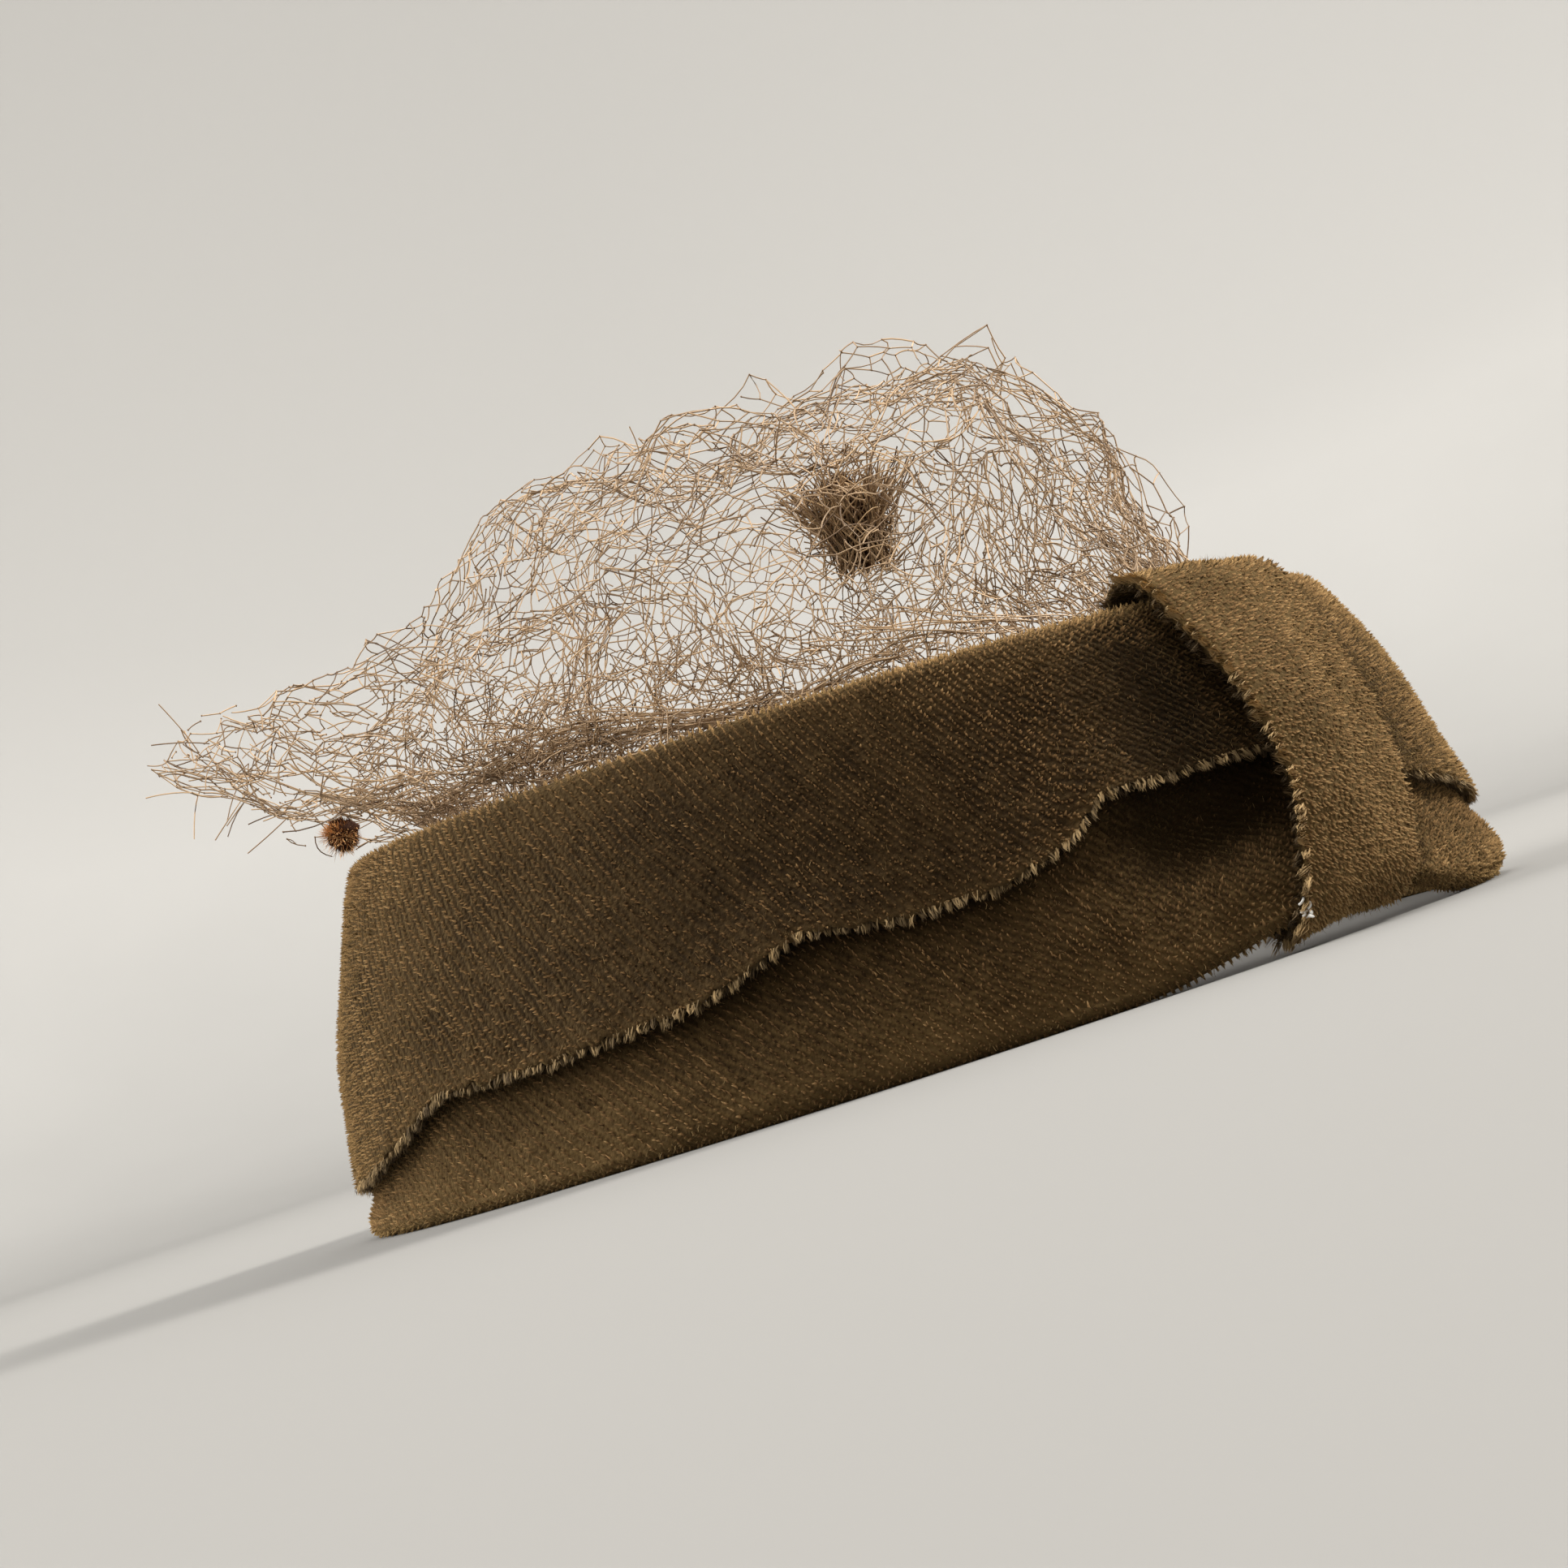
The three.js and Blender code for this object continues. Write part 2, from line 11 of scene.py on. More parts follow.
import bpy
import numpy as np
from mathutils import Matrix, Vector
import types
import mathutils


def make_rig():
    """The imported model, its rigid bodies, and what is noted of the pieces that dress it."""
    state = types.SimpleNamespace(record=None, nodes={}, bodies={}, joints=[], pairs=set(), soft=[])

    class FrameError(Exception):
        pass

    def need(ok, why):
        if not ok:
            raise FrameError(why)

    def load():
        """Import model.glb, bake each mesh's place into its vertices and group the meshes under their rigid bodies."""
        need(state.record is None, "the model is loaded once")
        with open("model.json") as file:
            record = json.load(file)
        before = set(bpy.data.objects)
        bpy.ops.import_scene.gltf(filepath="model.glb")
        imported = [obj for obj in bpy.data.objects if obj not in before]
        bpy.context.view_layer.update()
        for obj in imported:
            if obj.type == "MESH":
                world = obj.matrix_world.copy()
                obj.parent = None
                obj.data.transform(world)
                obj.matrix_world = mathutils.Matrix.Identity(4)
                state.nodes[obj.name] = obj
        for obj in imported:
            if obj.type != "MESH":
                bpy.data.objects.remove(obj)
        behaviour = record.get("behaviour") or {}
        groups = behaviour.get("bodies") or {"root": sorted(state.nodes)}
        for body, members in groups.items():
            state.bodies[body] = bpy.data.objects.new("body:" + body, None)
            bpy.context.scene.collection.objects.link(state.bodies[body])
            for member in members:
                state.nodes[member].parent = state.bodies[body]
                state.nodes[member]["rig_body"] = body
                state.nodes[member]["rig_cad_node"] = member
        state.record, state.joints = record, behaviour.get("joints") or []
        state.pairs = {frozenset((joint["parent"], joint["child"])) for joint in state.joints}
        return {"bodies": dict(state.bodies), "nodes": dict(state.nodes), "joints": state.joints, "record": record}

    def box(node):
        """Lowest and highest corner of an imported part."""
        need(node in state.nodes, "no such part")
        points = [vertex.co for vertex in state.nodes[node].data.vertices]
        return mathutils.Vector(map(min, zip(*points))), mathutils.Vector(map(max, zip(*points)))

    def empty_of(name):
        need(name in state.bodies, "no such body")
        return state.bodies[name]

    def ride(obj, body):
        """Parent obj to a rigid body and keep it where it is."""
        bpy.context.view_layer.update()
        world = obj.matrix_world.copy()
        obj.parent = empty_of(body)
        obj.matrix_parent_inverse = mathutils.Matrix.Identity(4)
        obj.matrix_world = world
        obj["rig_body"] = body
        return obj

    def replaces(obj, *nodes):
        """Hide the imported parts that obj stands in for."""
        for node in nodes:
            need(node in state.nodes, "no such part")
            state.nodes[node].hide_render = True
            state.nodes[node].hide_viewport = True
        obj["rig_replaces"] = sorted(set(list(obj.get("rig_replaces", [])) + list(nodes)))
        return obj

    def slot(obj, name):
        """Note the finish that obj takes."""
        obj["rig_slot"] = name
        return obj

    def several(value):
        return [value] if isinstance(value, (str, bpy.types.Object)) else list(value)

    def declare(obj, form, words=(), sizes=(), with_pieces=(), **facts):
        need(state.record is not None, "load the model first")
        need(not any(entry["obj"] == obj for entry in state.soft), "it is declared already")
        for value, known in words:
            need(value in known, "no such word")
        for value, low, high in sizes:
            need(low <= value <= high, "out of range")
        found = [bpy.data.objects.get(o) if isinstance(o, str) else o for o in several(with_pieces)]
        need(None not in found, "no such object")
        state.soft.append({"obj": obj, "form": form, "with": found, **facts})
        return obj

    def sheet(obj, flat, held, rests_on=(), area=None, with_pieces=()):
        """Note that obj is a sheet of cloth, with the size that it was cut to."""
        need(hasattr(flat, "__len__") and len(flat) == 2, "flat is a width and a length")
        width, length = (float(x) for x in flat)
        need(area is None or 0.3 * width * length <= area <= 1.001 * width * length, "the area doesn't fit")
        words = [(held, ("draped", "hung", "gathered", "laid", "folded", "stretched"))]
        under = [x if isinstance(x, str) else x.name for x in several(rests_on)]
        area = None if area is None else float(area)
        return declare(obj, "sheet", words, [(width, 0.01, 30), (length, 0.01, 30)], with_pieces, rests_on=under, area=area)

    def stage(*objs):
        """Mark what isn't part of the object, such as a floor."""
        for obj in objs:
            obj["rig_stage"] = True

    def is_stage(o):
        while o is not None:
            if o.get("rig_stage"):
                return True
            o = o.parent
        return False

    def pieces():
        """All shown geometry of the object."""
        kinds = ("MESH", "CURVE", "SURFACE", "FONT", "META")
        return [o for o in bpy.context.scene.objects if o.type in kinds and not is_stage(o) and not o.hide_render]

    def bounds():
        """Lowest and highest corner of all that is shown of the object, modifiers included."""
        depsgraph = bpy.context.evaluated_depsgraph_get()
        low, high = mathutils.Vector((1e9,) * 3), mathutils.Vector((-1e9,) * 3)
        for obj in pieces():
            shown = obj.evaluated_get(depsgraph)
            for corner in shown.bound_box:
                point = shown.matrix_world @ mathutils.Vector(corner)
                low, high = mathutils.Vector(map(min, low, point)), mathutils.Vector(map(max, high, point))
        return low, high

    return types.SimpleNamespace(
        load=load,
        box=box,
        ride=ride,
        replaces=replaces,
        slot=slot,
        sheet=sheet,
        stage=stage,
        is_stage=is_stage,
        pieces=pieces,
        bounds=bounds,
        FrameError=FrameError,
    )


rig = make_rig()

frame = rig.load()
CAD_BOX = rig.bounds()

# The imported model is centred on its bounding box, and the base band is centred on the hat.
_low, _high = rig.box("base_band")
SHIFT = np.array([(_low.x + _high.x) / 2, (_low.y + _high.y) / 2, 0.0])


# ---- camera and lights

SENSOR = 36
CAMERA = {
    "azimuth": -50.6,
    "elevation": -4.4,
    "roll": -18.2,
    "distance": 511,
    "field": 30.0,
    "target": (-9, 4, 53),  # the middle of the hat as the camera sees it
}

# azimuth, elevation, power, size in m and colour of the lamps round the hat
LAMPS = {
    "key": (42, 36, 52, 0.55, (1.0, 0.975, 0.93)),
    "side": (-122, 32, 16, 0.8, (1.0, 0.98, 0.95)),
    "rear": (-158, 36, 20, 0.9, (1.0, 0.98, 0.95)),
    "above": (-62, 74, 20, 0.9, (1.0, 0.985, 0.96)),
    "behind": (120, 42, 8, 0.9, (1.0, 0.98, 0.95)),
}
LAMP_DISTANCE = 1.8
HAT_MIDDLE = Vector((0, 0, 0.05))
# four lamps over the hat, a quarter turn apart, which light the wall all round and not the hat
WALL_LAMPS = {"powers": (14, 5, 14, 14), "first": 130, "height": 1.5, "finish": (0.9, (1.0, 0.985, 0.96))}
SKY = {"Color": (1.0, 0.985, 0.965, 1), "Strength": 0.45}


def link(name, data, place=(0, 0, 0)):
    obj = bpy.data.objects.new(name, data)
    obj.location = place
    bpy.context.collection.objects.link(obj)
    return obj


def axes_from(azimuth, elevation):
    """The directions right, up and back of a view from there."""
    a, e = math.radians(azimuth), math.radians(elevation)
    back = Vector((math.sin(a) * math.cos(e), -math.cos(a) * math.cos(e), math.sin(e)))
    right = (-back).cross(Vector((0, 0, 1))).normalized()
    return right, right.cross(-back).normalized(), back


def make_camera():
    right, up, back = axes_from(CAMERA["azimuth"], CAMERA["elevation"])
    roll = math.radians(CAMERA["roll"])
    across = right * math.cos(roll) + up * math.sin(roll)
    above = -right * math.sin(roll) + up * math.cos(roll)
    data = bpy.data.cameras.new("camera")
    data.sensor_width = SENSOR
    data.lens = SENSOR / 2 / math.tan(math.radians(CAMERA["field"] / 2))
    data.clip_start, data.clip_end = 0.01, 20
    cam = link("camera", data)
    cam.matrix_world = Matrix((across, above, back)).transposed().to_4x4()
    cam.location = Vector(CAMERA["target"]) / 1000 + back * CAMERA["distance"] / 1000
    bpy.context.scene.camera = cam


def square_lamp(name, place, back, power, size, colour):
    """A square lamp that shines away from the direction back."""
    data = bpy.data.lights.new(name, "AREA")
    data.shape, data.size, data.energy, data.color = "SQUARE", size, power, colour
    lamp = link(name, data, place)
    lamp.rotation_mode = "QUATERNION"
    lamp.rotation_quaternion = back.to_track_quat("Z", "Y")


def make_lights():
    for name, (azimuth, elevation, power, *finish) in LAMPS.items():
        back = axes_from(azimuth, elevation)[2]
        square_lamp(name, HAT_MIDDLE + back * LAMP_DISTANCE, back, power, *finish)
    for k, power in enumerate(WALL_LAMPS["powers"]):
        back = HAT_MIDDLE - axes_from(WALL_LAMPS["first"] + 90 * k, 0)[2]
        square_lamp(f"wall_{k}", (0, 0, WALL_LAMPS["height"]), back, power, *WALL_LAMPS["finish"])
    world = bpy.data.worlds.new("studio")
    world.use_nodes = True
    for name, value in SKY.items():
        world.node_tree.nodes["Background"].inputs[name].default_value = value
    bpy.context.scene.world = world
    bpy.context.scene.view_settings.view_transform = "Standard"


# ---- materials


class Material:
    """A node material. What its nodes are given are numbers, colours or other nodes' sockets."""

    def __init__(self, name, roughness, specular, sheen=0.0, tint=(1.0, 1.0, 1.0), sheen_roughness=0.5):
        self.data = bpy.data.materials.new(name)
        self.data.use_nodes = True
        self.tree = self.data.node_tree
        self.shader = self.tree.nodes["Principled BSDF"]
        self.place = self.node("NewGeometry").outputs["Position"]
        self.fill(self.shader, {"Roughness": roughness, "Specular IOR Level": specular, "Sheen Weight": sheen,
                                "Sheen Roughness": sheen_roughness, "Sheen Tint": tint})

    def fill(self, node, inputs):
        for key, value in inputs.items():
            if isinstance(value, bpy.types.NodeSocket):
                self.tree.links.new(value, node.inputs[key])
            else:
                node.inputs[key].default_value = (*value, 1) if isinstance(value, tuple) else value

    def node(self, kind, inputs=None, **settings):
        node = self.tree.nodes.new("ShaderNode" + kind)
        for key, value in settings.items():
            setattr(node, key, value)
        self.fill(node, inputs or {})
        return node

    def maths(self, operation, *values):
        return self.node("Math", dict(enumerate(values)), operation=operation).outputs[0]

    def total(self, start, *terms):
        """The sum of start and of each socket times its weight."""
        for socket, weight in terms:
            start = self.maths("MULTIPLY_ADD", socket, weight, start)
        return start

    def noise(self, scale, detail, roughness, distortion=0.0):
        return self.node("TexNoise", {"Vector": self.place, "Scale": scale, "Detail": detail,
                                      "Roughness": roughness, "Distortion": distortion}).outputs["Fac"]

    def attribute(self, name):
        return self.node("Attribute", attribute_name=name).outputs["Fac"]

    def ramp(self, value, *stops):
        node = self.node("ValToRGB", {"Fac": value})
        elements = node.color_ramp.elements
        while len(elements) < len(stops):
            elements.new(0.5)
        for element, (place, colour) in zip(elements, stops):
            element.position, element.color = place, (*colour, 1)
        return node.outputs["Color"]

    def mix(self, factor, a, b):
        return self.node("Mix", {0: factor, 6: a, 7: b}, data_type="RGBA").outputs[2]

    def finish(self, colour, height=None, strength=0.0, depth=0.0):
        """Give the shader its colour and the bumps of a height, depth in m, and return the material."""
        self.fill(self.shader, {"Base Color": colour})
        if height is not None:
            bumps = self.node("Bump", {"Height": height, "Strength": strength, "Distance": depth})
            self.fill(self.shader, {"Normal": bumps.outputs["Normal"]})
        return self.data


# the colour of the velvet's sheen, and ramps of the pile and of the floor: place, colour
PILE_SHEEN = (0.6, 0.4, 0.16)
PILE_COLOURS = ((0.1, (0.02, 0.0108, 0.0042)), (0.55, (0.176, 0.1, 0.042)), (0.9545, (0.43, 0.282, 0.13)))
PAPER_COLOURS = ((0.3, (0.215, 0.21, 0.2)), (0.58, (0.235, 0.23, 0.22)), (0.88, (0.46, 0.452, 0.436)))

# dark, mid and light colour, the rows' angle to the length of the cloth, their pitch in m, their depth
VELVETS = {
    "velvet_base": ((0.024, 0.014, 0.005), (0.055, 0.033, 0.012), (0.1, 0.063, 0.025), -38, 0.0013, 0.6),
    "velvet_band": ((0.014, 0.008, 0.003), (0.034, 0.02, 0.0075), (0.07, 0.043, 0.017), -58, 0.00132, 0.6),
    "velvet_strap": ((0.03, 0.018, 0.006), (0.07, 0.043, 0.016), (0.12, 0.078, 0.031), 80, 0.00115, 0.25),
}

# dark and light colour, roughness and sheen
THREADS = {
    "raw_edge_pile": ((0.03, 0.018, 0.007), (0.47, 0.32, 0.15), 0.9, 0.2),
    "raw_edge_backing": ((0.03, 0.018, 0.008), (0.26, 0.18, 0.094), 0.9, 0.2),
    "velvet_fuzz": ((0.08, 0.05, 0.02), (0.36, 0.24, 0.105), 0.9, 0.3),
    "net_thread": ((0.085, 0.047, 0.024), (0.56, 0.385, 0.225), 0.5, 0.1),
    "tuft_pile": ((0.03, 0.012, 0.006), (0.15, 0.066, 0.03), 0.95, 0.3),
    "tuft_thread": ((0.085, 0.042, 0.02), (0.56, 0.375, 0.2), 0.5, 0.1),
    "dot_chenille": ((0.012, 0.005, 0.003), (0.13, 0.045, 0.018), 0.95, 0.2),
    "dot_fringe": ((0.42, 0.15, 0.04), (0.95, 0.58, 0.27), 0.8, 0.3),
    "white_thread": ((0.5, 0.49, 0.46), (0.85, 0.84, 0.8), 0.5, 0.1),
}


def velvet(name):
    """The ground of cotton velvet, with its pile in rows. One attribute lightens it with painted light and
    paler places, and another darkens it with painted shade in hollows, inside and under other cloth."""
    dark, mid, light, row_angle, row_pitch, row_depth = VELVETS[name]
    m = Material(name, roughness=0.95, specular=0.08, sheen=0.3, tint=PILE_SHEEN, sheen_roughness=0.38)
    # rows of pile: a sine across them, pushed about by noise so that they waver
    parts = m.node("SeparateXYZ", {0: m.node("UVMap", uv_map="cloth").outputs["UV"]}).outputs
    angle, rate = math.radians(row_angle), 2 * math.pi / row_pitch
    waver = m.noise(90.0, detail=3.0, roughness=0.55)
    phase = m.total(0.0, (parts[0], math.sin(angle) * rate), (parts[1], math.cos(angle) * rate), (waver, 9.0))
    rows = m.maths("SINE", phase)
    # single tufts along each row, and loose fibres over them
    tufts = m.node("TexVoronoi", {"Vector": m.place, "Scale": 1150.0, "Randomness": 0.8}).outputs["Distance"]
    fibres = m.noise(1900.0, detail=3.0, roughness=0.65)
    clumps = m.noise(260.0, detail=3.0, roughness=0.6)
    patches = m.noise(34.0, detail=3.0, roughness=0.55, distortion=0.4)
    tone = m.total(-0.16, (rows, 0.13 * row_depth), (clumps, 0.5), (fibres, 0.42), (patches, 0.36))
    colour = m.ramp(tone, (0.3, dark), (0.52, mid), (0.78, light))
    # painted light and paler places: mixed towards a paler colour by the first attribute
    colour = m.mix(m.attribute("worn"), colour, tuple(min(1.0, 1.55 * c) for c in light))
    # painted shade: mixed towards near black by the second attribute
    colour = m.mix(m.attribute("deep"), colour, tuple(0.25 * c for c in dark))
    height = m.total(0.0, (rows, 0.5 * row_depth), (tufts, -0.8), (fibres, 0.9), (clumps, 1.2))
    return m.finish(colour, height, 0.75, 0.0005)


def thread(name):
    """Fine thread or pile whose tone varies from strand to strand by the attribute tone."""
    dark, light, roughness, sheen = THREADS[name]
    tint = tuple(min(1.0, 1.4 * c) for c in light)
    m = Material(name, roughness, specular=0.25, sheen=sheen, tint=tint)
    fine = m.noise(700.0, detail=2.0, roughness=0.5)
    tone = m.total(0.0, (m.attribute("tone"), 0.75), (fine, 0.3))
    return m.finish(m.ramp(tone, (0.1, dark), (0.95, light)), fine, 0.3, 0.0001)


def pile_material():
    """Tufts of velvet pile, dark at the root with painted shade and light at the tip, by the attribute tone."""
    m = Material("velvet_pile", roughness=0.95, specular=0.06, sheen=0.7, tint=PILE_SHEEN,
                 sheen_roughness=0.35)
    fibres = m.noise(2600.0, detail=2.0, roughness=0.6)
    tone = m.total(-0.15, (m.attribute("tone"), 1.0), (fibres, 0.3))
    return m.finish(m.ramp(tone, *PILE_COLOURS), fibres, 0.5, 0.0002)


def floor_material():
    """Pale paper, lighter on the wall than near the hat: painted light."""
    m = Material("paper_floor", roughness=0.9, specular=0.15)
    distance = m.node("VectorMath", {0: m.place}, operation="LENGTH").outputs["Value"]
    # painted light: the paper grows lighter further out, on the wall
    far = m.total(0.0, (distance, 0.4), (m.noise(2.2, detail=4.0, roughness=0.5), 0.12))
    return m.finish(m.ramp(far, *PAPER_COLOURS))


def make_stage():
    """A round floor that curves up into a wall all round, so that no horizon shows. In metres."""
    flat, curve, top, steps = 1.25, 1.1, 1.0, 96
    bend = [math.radians(5 * k) for k in range(1, 19)]
    profile = [(0.3, 0.0), (0.7, 0.0), (flat, 0.0),
               *((flat + curve * math.sin(a), curve * (1 - math.cos(a))) for a in bend),
               (flat + curve, curve + top)]
    spokes = [2 * math.pi * k / steps for k in range(steps)]
    verts = [(0, 0, 0)] + [(r * math.cos(a), r * math.sin(a), z) for r, z in profile for a in spokes]
    pairs = [(k, (k + 1) % steps) for k in range(steps)]
    faces = [(0, 1 + i, 1 + k) for i, k in pairs]
    faces += [(row - steps + i, row + i, row + k, row - steps + k)
              for row in range(1 + steps, len(verts), steps) for i, k in pairs]
    mesh = bpy.data.meshes.new("floor")
    mesh.from_pydata(verts, [], faces)
    mesh.shade_smooth()
    mesh.materials.append(floor_material())
    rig.stage(link("floor", mesh))


# ---- small mathematics


def smooth(x):
    x = np.clip(x, 0, 1)
    return x * x * (3 - 2 * x)


def bump(distance, reach):
    """1 at no distance, falling to 0 at the reach, with no kink at either end."""
    return np.where(np.abs(distance) < reach, np.cos(distance / reach * (np.pi / 2)) ** 2, 0.0)


def turn_between(a, b):
    return (np.asarray(a) - b + 180) % 360 - 180


def near_turn(turn, centre, reach):
    """1 at the centre, falling to 0 at the reach round the ring from it."""
    return bump(turn_between(turn, centre), reach)


def unit(v):
    return v / np.maximum(np.linalg.norm(v, axis=-1, keepdims=True), 1e-9)


def gaps(points, axis):
    """Distances from point to point along an axis."""
    return np.linalg.norm(np.diff(points, axis=axis), axis=-1)


def running(steps):
    """Running totals along the last axis, from 0."""
    return np.concatenate([np.zeros((*steps.shape[:-1], 1)), np.cumsum(steps, -1)], -1)


def waves(seed, size, points, dims=1, count=14):
    """Smooth random values of about -1 to 1 at points (..., 3), whose waves are about that size."""
    rng = np.random.default_rng(seed)
    k = rng.normal(size=(dims, count, 3))
    k = unit(k) * 2 * np.pi / size * rng.uniform(0.6, 1.5, (dims, count, 1))
    phase = rng.uniform(0, 2 * np.pi, (dims, count))
    out = np.sin(np.einsum("...i,dci->...dc", points, k) + phase).sum(-1) / math.sqrt(count / 2) * 0.6
    return out if dims > 1 else out[..., 0]


# ---- the ring's outer skin, as in the solids

RING = {
    "half_width": 92.0,
    "half_length": 106.0,
    "plan_power": 2.05,
    "side_taper": 0.19,
    "end_taper": 0.135,
    "taper_power": 2.1,
    "front_height": 58.0,
    "back_height": 66.0,
}
CLOTH = 1.8
GAP = 0.4
BASE_WALL = 3.0
COVERED = CLOTH + GAP
FOLD_DEPTH = COVERED + BASE_WALL + GAP + CLOTH
HEM = 5.6
INNER_LEG_RISE = 0.66
STRAP_TURN = 10.0
RIM_LIFT = {"height": 5.5, "turn": STRAP_TURN + 2, "spread": 27.0}

# turn, rise of the raw edge, and how far it stands off the wall in mm
RAW_EDGE = np.array(
    [
        (-70, 0.27, 0.5), (-45, 0.2, 0.5), (-28, 0.24, 0.7), (-12, 0.3, 0.8), (3, 0.34, 0.3),
        (16, 0.47, 0.3), (29, 0.5, 0.9), (34, 0.52, 1.2), (37.5, 0.43, 0.9), (45, 0.375, 0.7),
        (53, 0.37, 0.8), (62, 0.41, 1.8), (71, 0.325, 1.4), (88, 0.3, 0.7), (103, 0.31, 0.9),
        (112, 0.22, 0.7), (124, 0.16, 0.5), (145, 0.13, 0.4), (215, 0.13, 0.4), (240, 0.18, 0.5),
        (256, 0.31, 0.9), (272, 0.3, 0.6), (290, 0.27, 0.5),
    ]
)
EDGE_STEP = 0.5
LIFT_REACH = 0.2
HOLLOW = {"depth": 5.5, "turn": 23.0, "spread": 15.0, "rise": 0.38, "reach": 0.26, "inside": 0.65}


def wall_height(turn):
    share = (1 - np.cos(np.radians(turn))) / 2
    return RING["front_height"] + (RING["back_height"] - RING["front_height"]) * share


def rim_height(turn):
    return RIM_LIFT["height"] * near_turn(turn, RIM_LIFT["turn"], RIM_LIFT["spread"])


def rise_of(z, turn):
    return (z - rim_height(turn)) / (wall_height(turn) - rim_height(turn))


def skin(turn, rise):
    """Points of the outer skin. Rise is 0 at the rim and 1 at the top, and may run past both."""
    turn, rise = np.broadcast_arrays(np.asarray(turn, float), np.asarray(rise, float))
    taper = np.clip(rise, 0, 1) ** RING["taper_power"]
    c, s = np.cos(np.radians(turn)), np.sin(np.radians(turn))
    power = RING["plan_power"]
    r = (np.abs(c) ** power + np.abs(s) ** power) ** (-1 / power)
    x = -RING["half_width"] * (1 - RING["side_taper"] * taper) * r * s
    y = -RING["half_length"] * (1 - RING["end_taper"] * taper) * r * c
    rim = rim_height(turn)
    return np.stack([x, y, rim + (wall_height(turn) - rim) * rise], -1)


def skin_normal(turn, rise):
    step = 0.01
    level = np.clip(rise, step, 1 - step)
    along = skin(np.asarray(turn) + 0.5, level) - skin(np.asarray(turn) - 0.5, level)
    up = skin(turn, level + step) - skin(turn, level - step)
    return unit(np.cross(up, along))


def wall(turn, rise, depth):
    """Points at a depth below the skin. A negative depth lies outside it."""
    return skin(turn, rise) - skin_normal(turn, rise) * np.asarray(depth)[..., None]


def around(column, turn, soften=1.6):
    """A column of RAW_EDGE round the ring, with its corners rounded over about that many degrees."""
    grid = np.arange(-180, 540, EDGE_STEP)
    places = np.concatenate([RAW_EDGE[:, 0] + round_by for round_by in (-360, 0, 360)])
    base = np.interp(grid, places, np.tile(RAW_EDGE[:, column], 3))
    width = int(4 * soften / EDGE_STEP)
    kernel = np.exp(-0.5 * (np.arange(-width, width + 1) * EDGE_STEP / soften) ** 2)
    soft = np.convolve(np.pad(base, width, mode="edge"), kernel / kernel.sum(), mode="valid")
    return np.interp(turn_between(turn, 0), grid, soft)


# ---- making pieces


def grid_faces(rows, columns, open_rows=0, open_columns=0):
    """Faces of a grid of points, which closes in a direction unless that is given as open."""
    i, j = np.meshgrid(np.arange(rows - open_rows), np.arange(columns - open_columns), indexing="ij")
    corners = [(i + a) % rows * columns + (j + b) % columns for a, b in ((0, 0), (0, 1), (1, 1), (1, 0))]
    return np.stack(corners, -1).reshape(-1, 4)


def cloth_grid(points):
    """Cloth coordinates in m, one pair per face corner, for points (rows, columns, 3) that close."""
    i, j = np.meshgrid(*(np.arange(n) for n in points.shape[:2]), indexing="ij")
    u, v = (running(np.linalg.norm(np.roll(points, -1, k) - points, axis=-1).mean(1 - k)) for k in (0, 1))
    corners = [np.stack([u[i + a], v[j + b]], -1) for a, b in ((0, 0), (0, 1), (1, 1), (1, 0))]
    return np.stack(corners, -2).reshape(-1, 2) / 1000


def piece(name, points, faces, mat, slot, node=None, uv=None, normals=None, **attributes):
    """A piece of the hat from points in mm in its frame, which may stand for a node of the solids."""
    mesh = bpy.data.meshes.new(name)
    co = np.asarray(points, float) / 1000 + SHIFT
    faces = np.asarray(faces, np.int32)
    mesh.vertices.add(len(co))
    mesh.vertices.foreach_set("co", co.ravel())
    n, k = faces.shape
    mesh.loops.add(n * k)
    mesh.loops.foreach_set("vertex_index", faces.ravel())
    mesh.polygons.add(n)
    mesh.polygons.foreach_set("loop_start", np.arange(0, n * k, k, dtype=np.int32))
    mesh.update(calc_edges=True)
    if uv is not None:
        mesh.uv_layers.new(name="cloth").data.foreach_set("uv", uv.ravel())
    for key, values in attributes.items():
        mesh.attributes.new(key, "FLOAT", "POINT").data.foreach_set("value", values.ravel())
    mesh.shade_smooth()
    mesh.validate()
    if normals is not None:
        mesh.normals_split_custom_set_from_vertices(np.asarray(normals, np.float32))
    mesh.materials.append(mat)
    obj = link(name, mesh)
    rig.ride(obj, "root")
    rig.slot(obj, slot)
    if node:
        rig.replaces(obj, node)
    return obj


def velvet_sheet(node, slot, points, worn, deep, **facts):
    """The area is that of one face."""
    faces = grid_faces(*points.shape[:2])
    uv = cloth_grid(points)
    points = points.reshape(-1, 3)
    a, b, c, d = (points[faces[:, k]] / 1000 for k in range(4))
    area = np.linalg.norm(np.cross(b - a, c - a), axis=1) + np.linalg.norm(np.cross(c - a, d - a), axis=1)
    obj = piece(f"{node}_velvet", points, faces, velvet(slot), slot, node, uv,
                worn=worn, deep=np.clip(deep, 0, 0.9))
    return obj, {**facts, "area": float(area.sum() / 4)}


# ---- base band

BASE_STEPS = {"out": 34, "over": 8, "in": 26, "rim": 11}
BASE_OUT, BASE_RIM = slice(BASE_STEPS["out"]), slice(-BASE_STEPS["rim"], None)
LIP = {"turn": -34, "spread": 36, "rise": 0.12, "reach": 0.16, "height": 2.2}


def base_depth(turn, rise):
    return COVERED * smooth((rise - 0.04) / (around(1, turn) - 0.07))


def hollow_at(turn, rise):
    return (HOLLOW["depth"] * near_turn(turn, HOLLOW["turn"], HOLLOW["spread"])
            * bump(rise - HOLLOW["rise"], HOLLOW["reach"]))


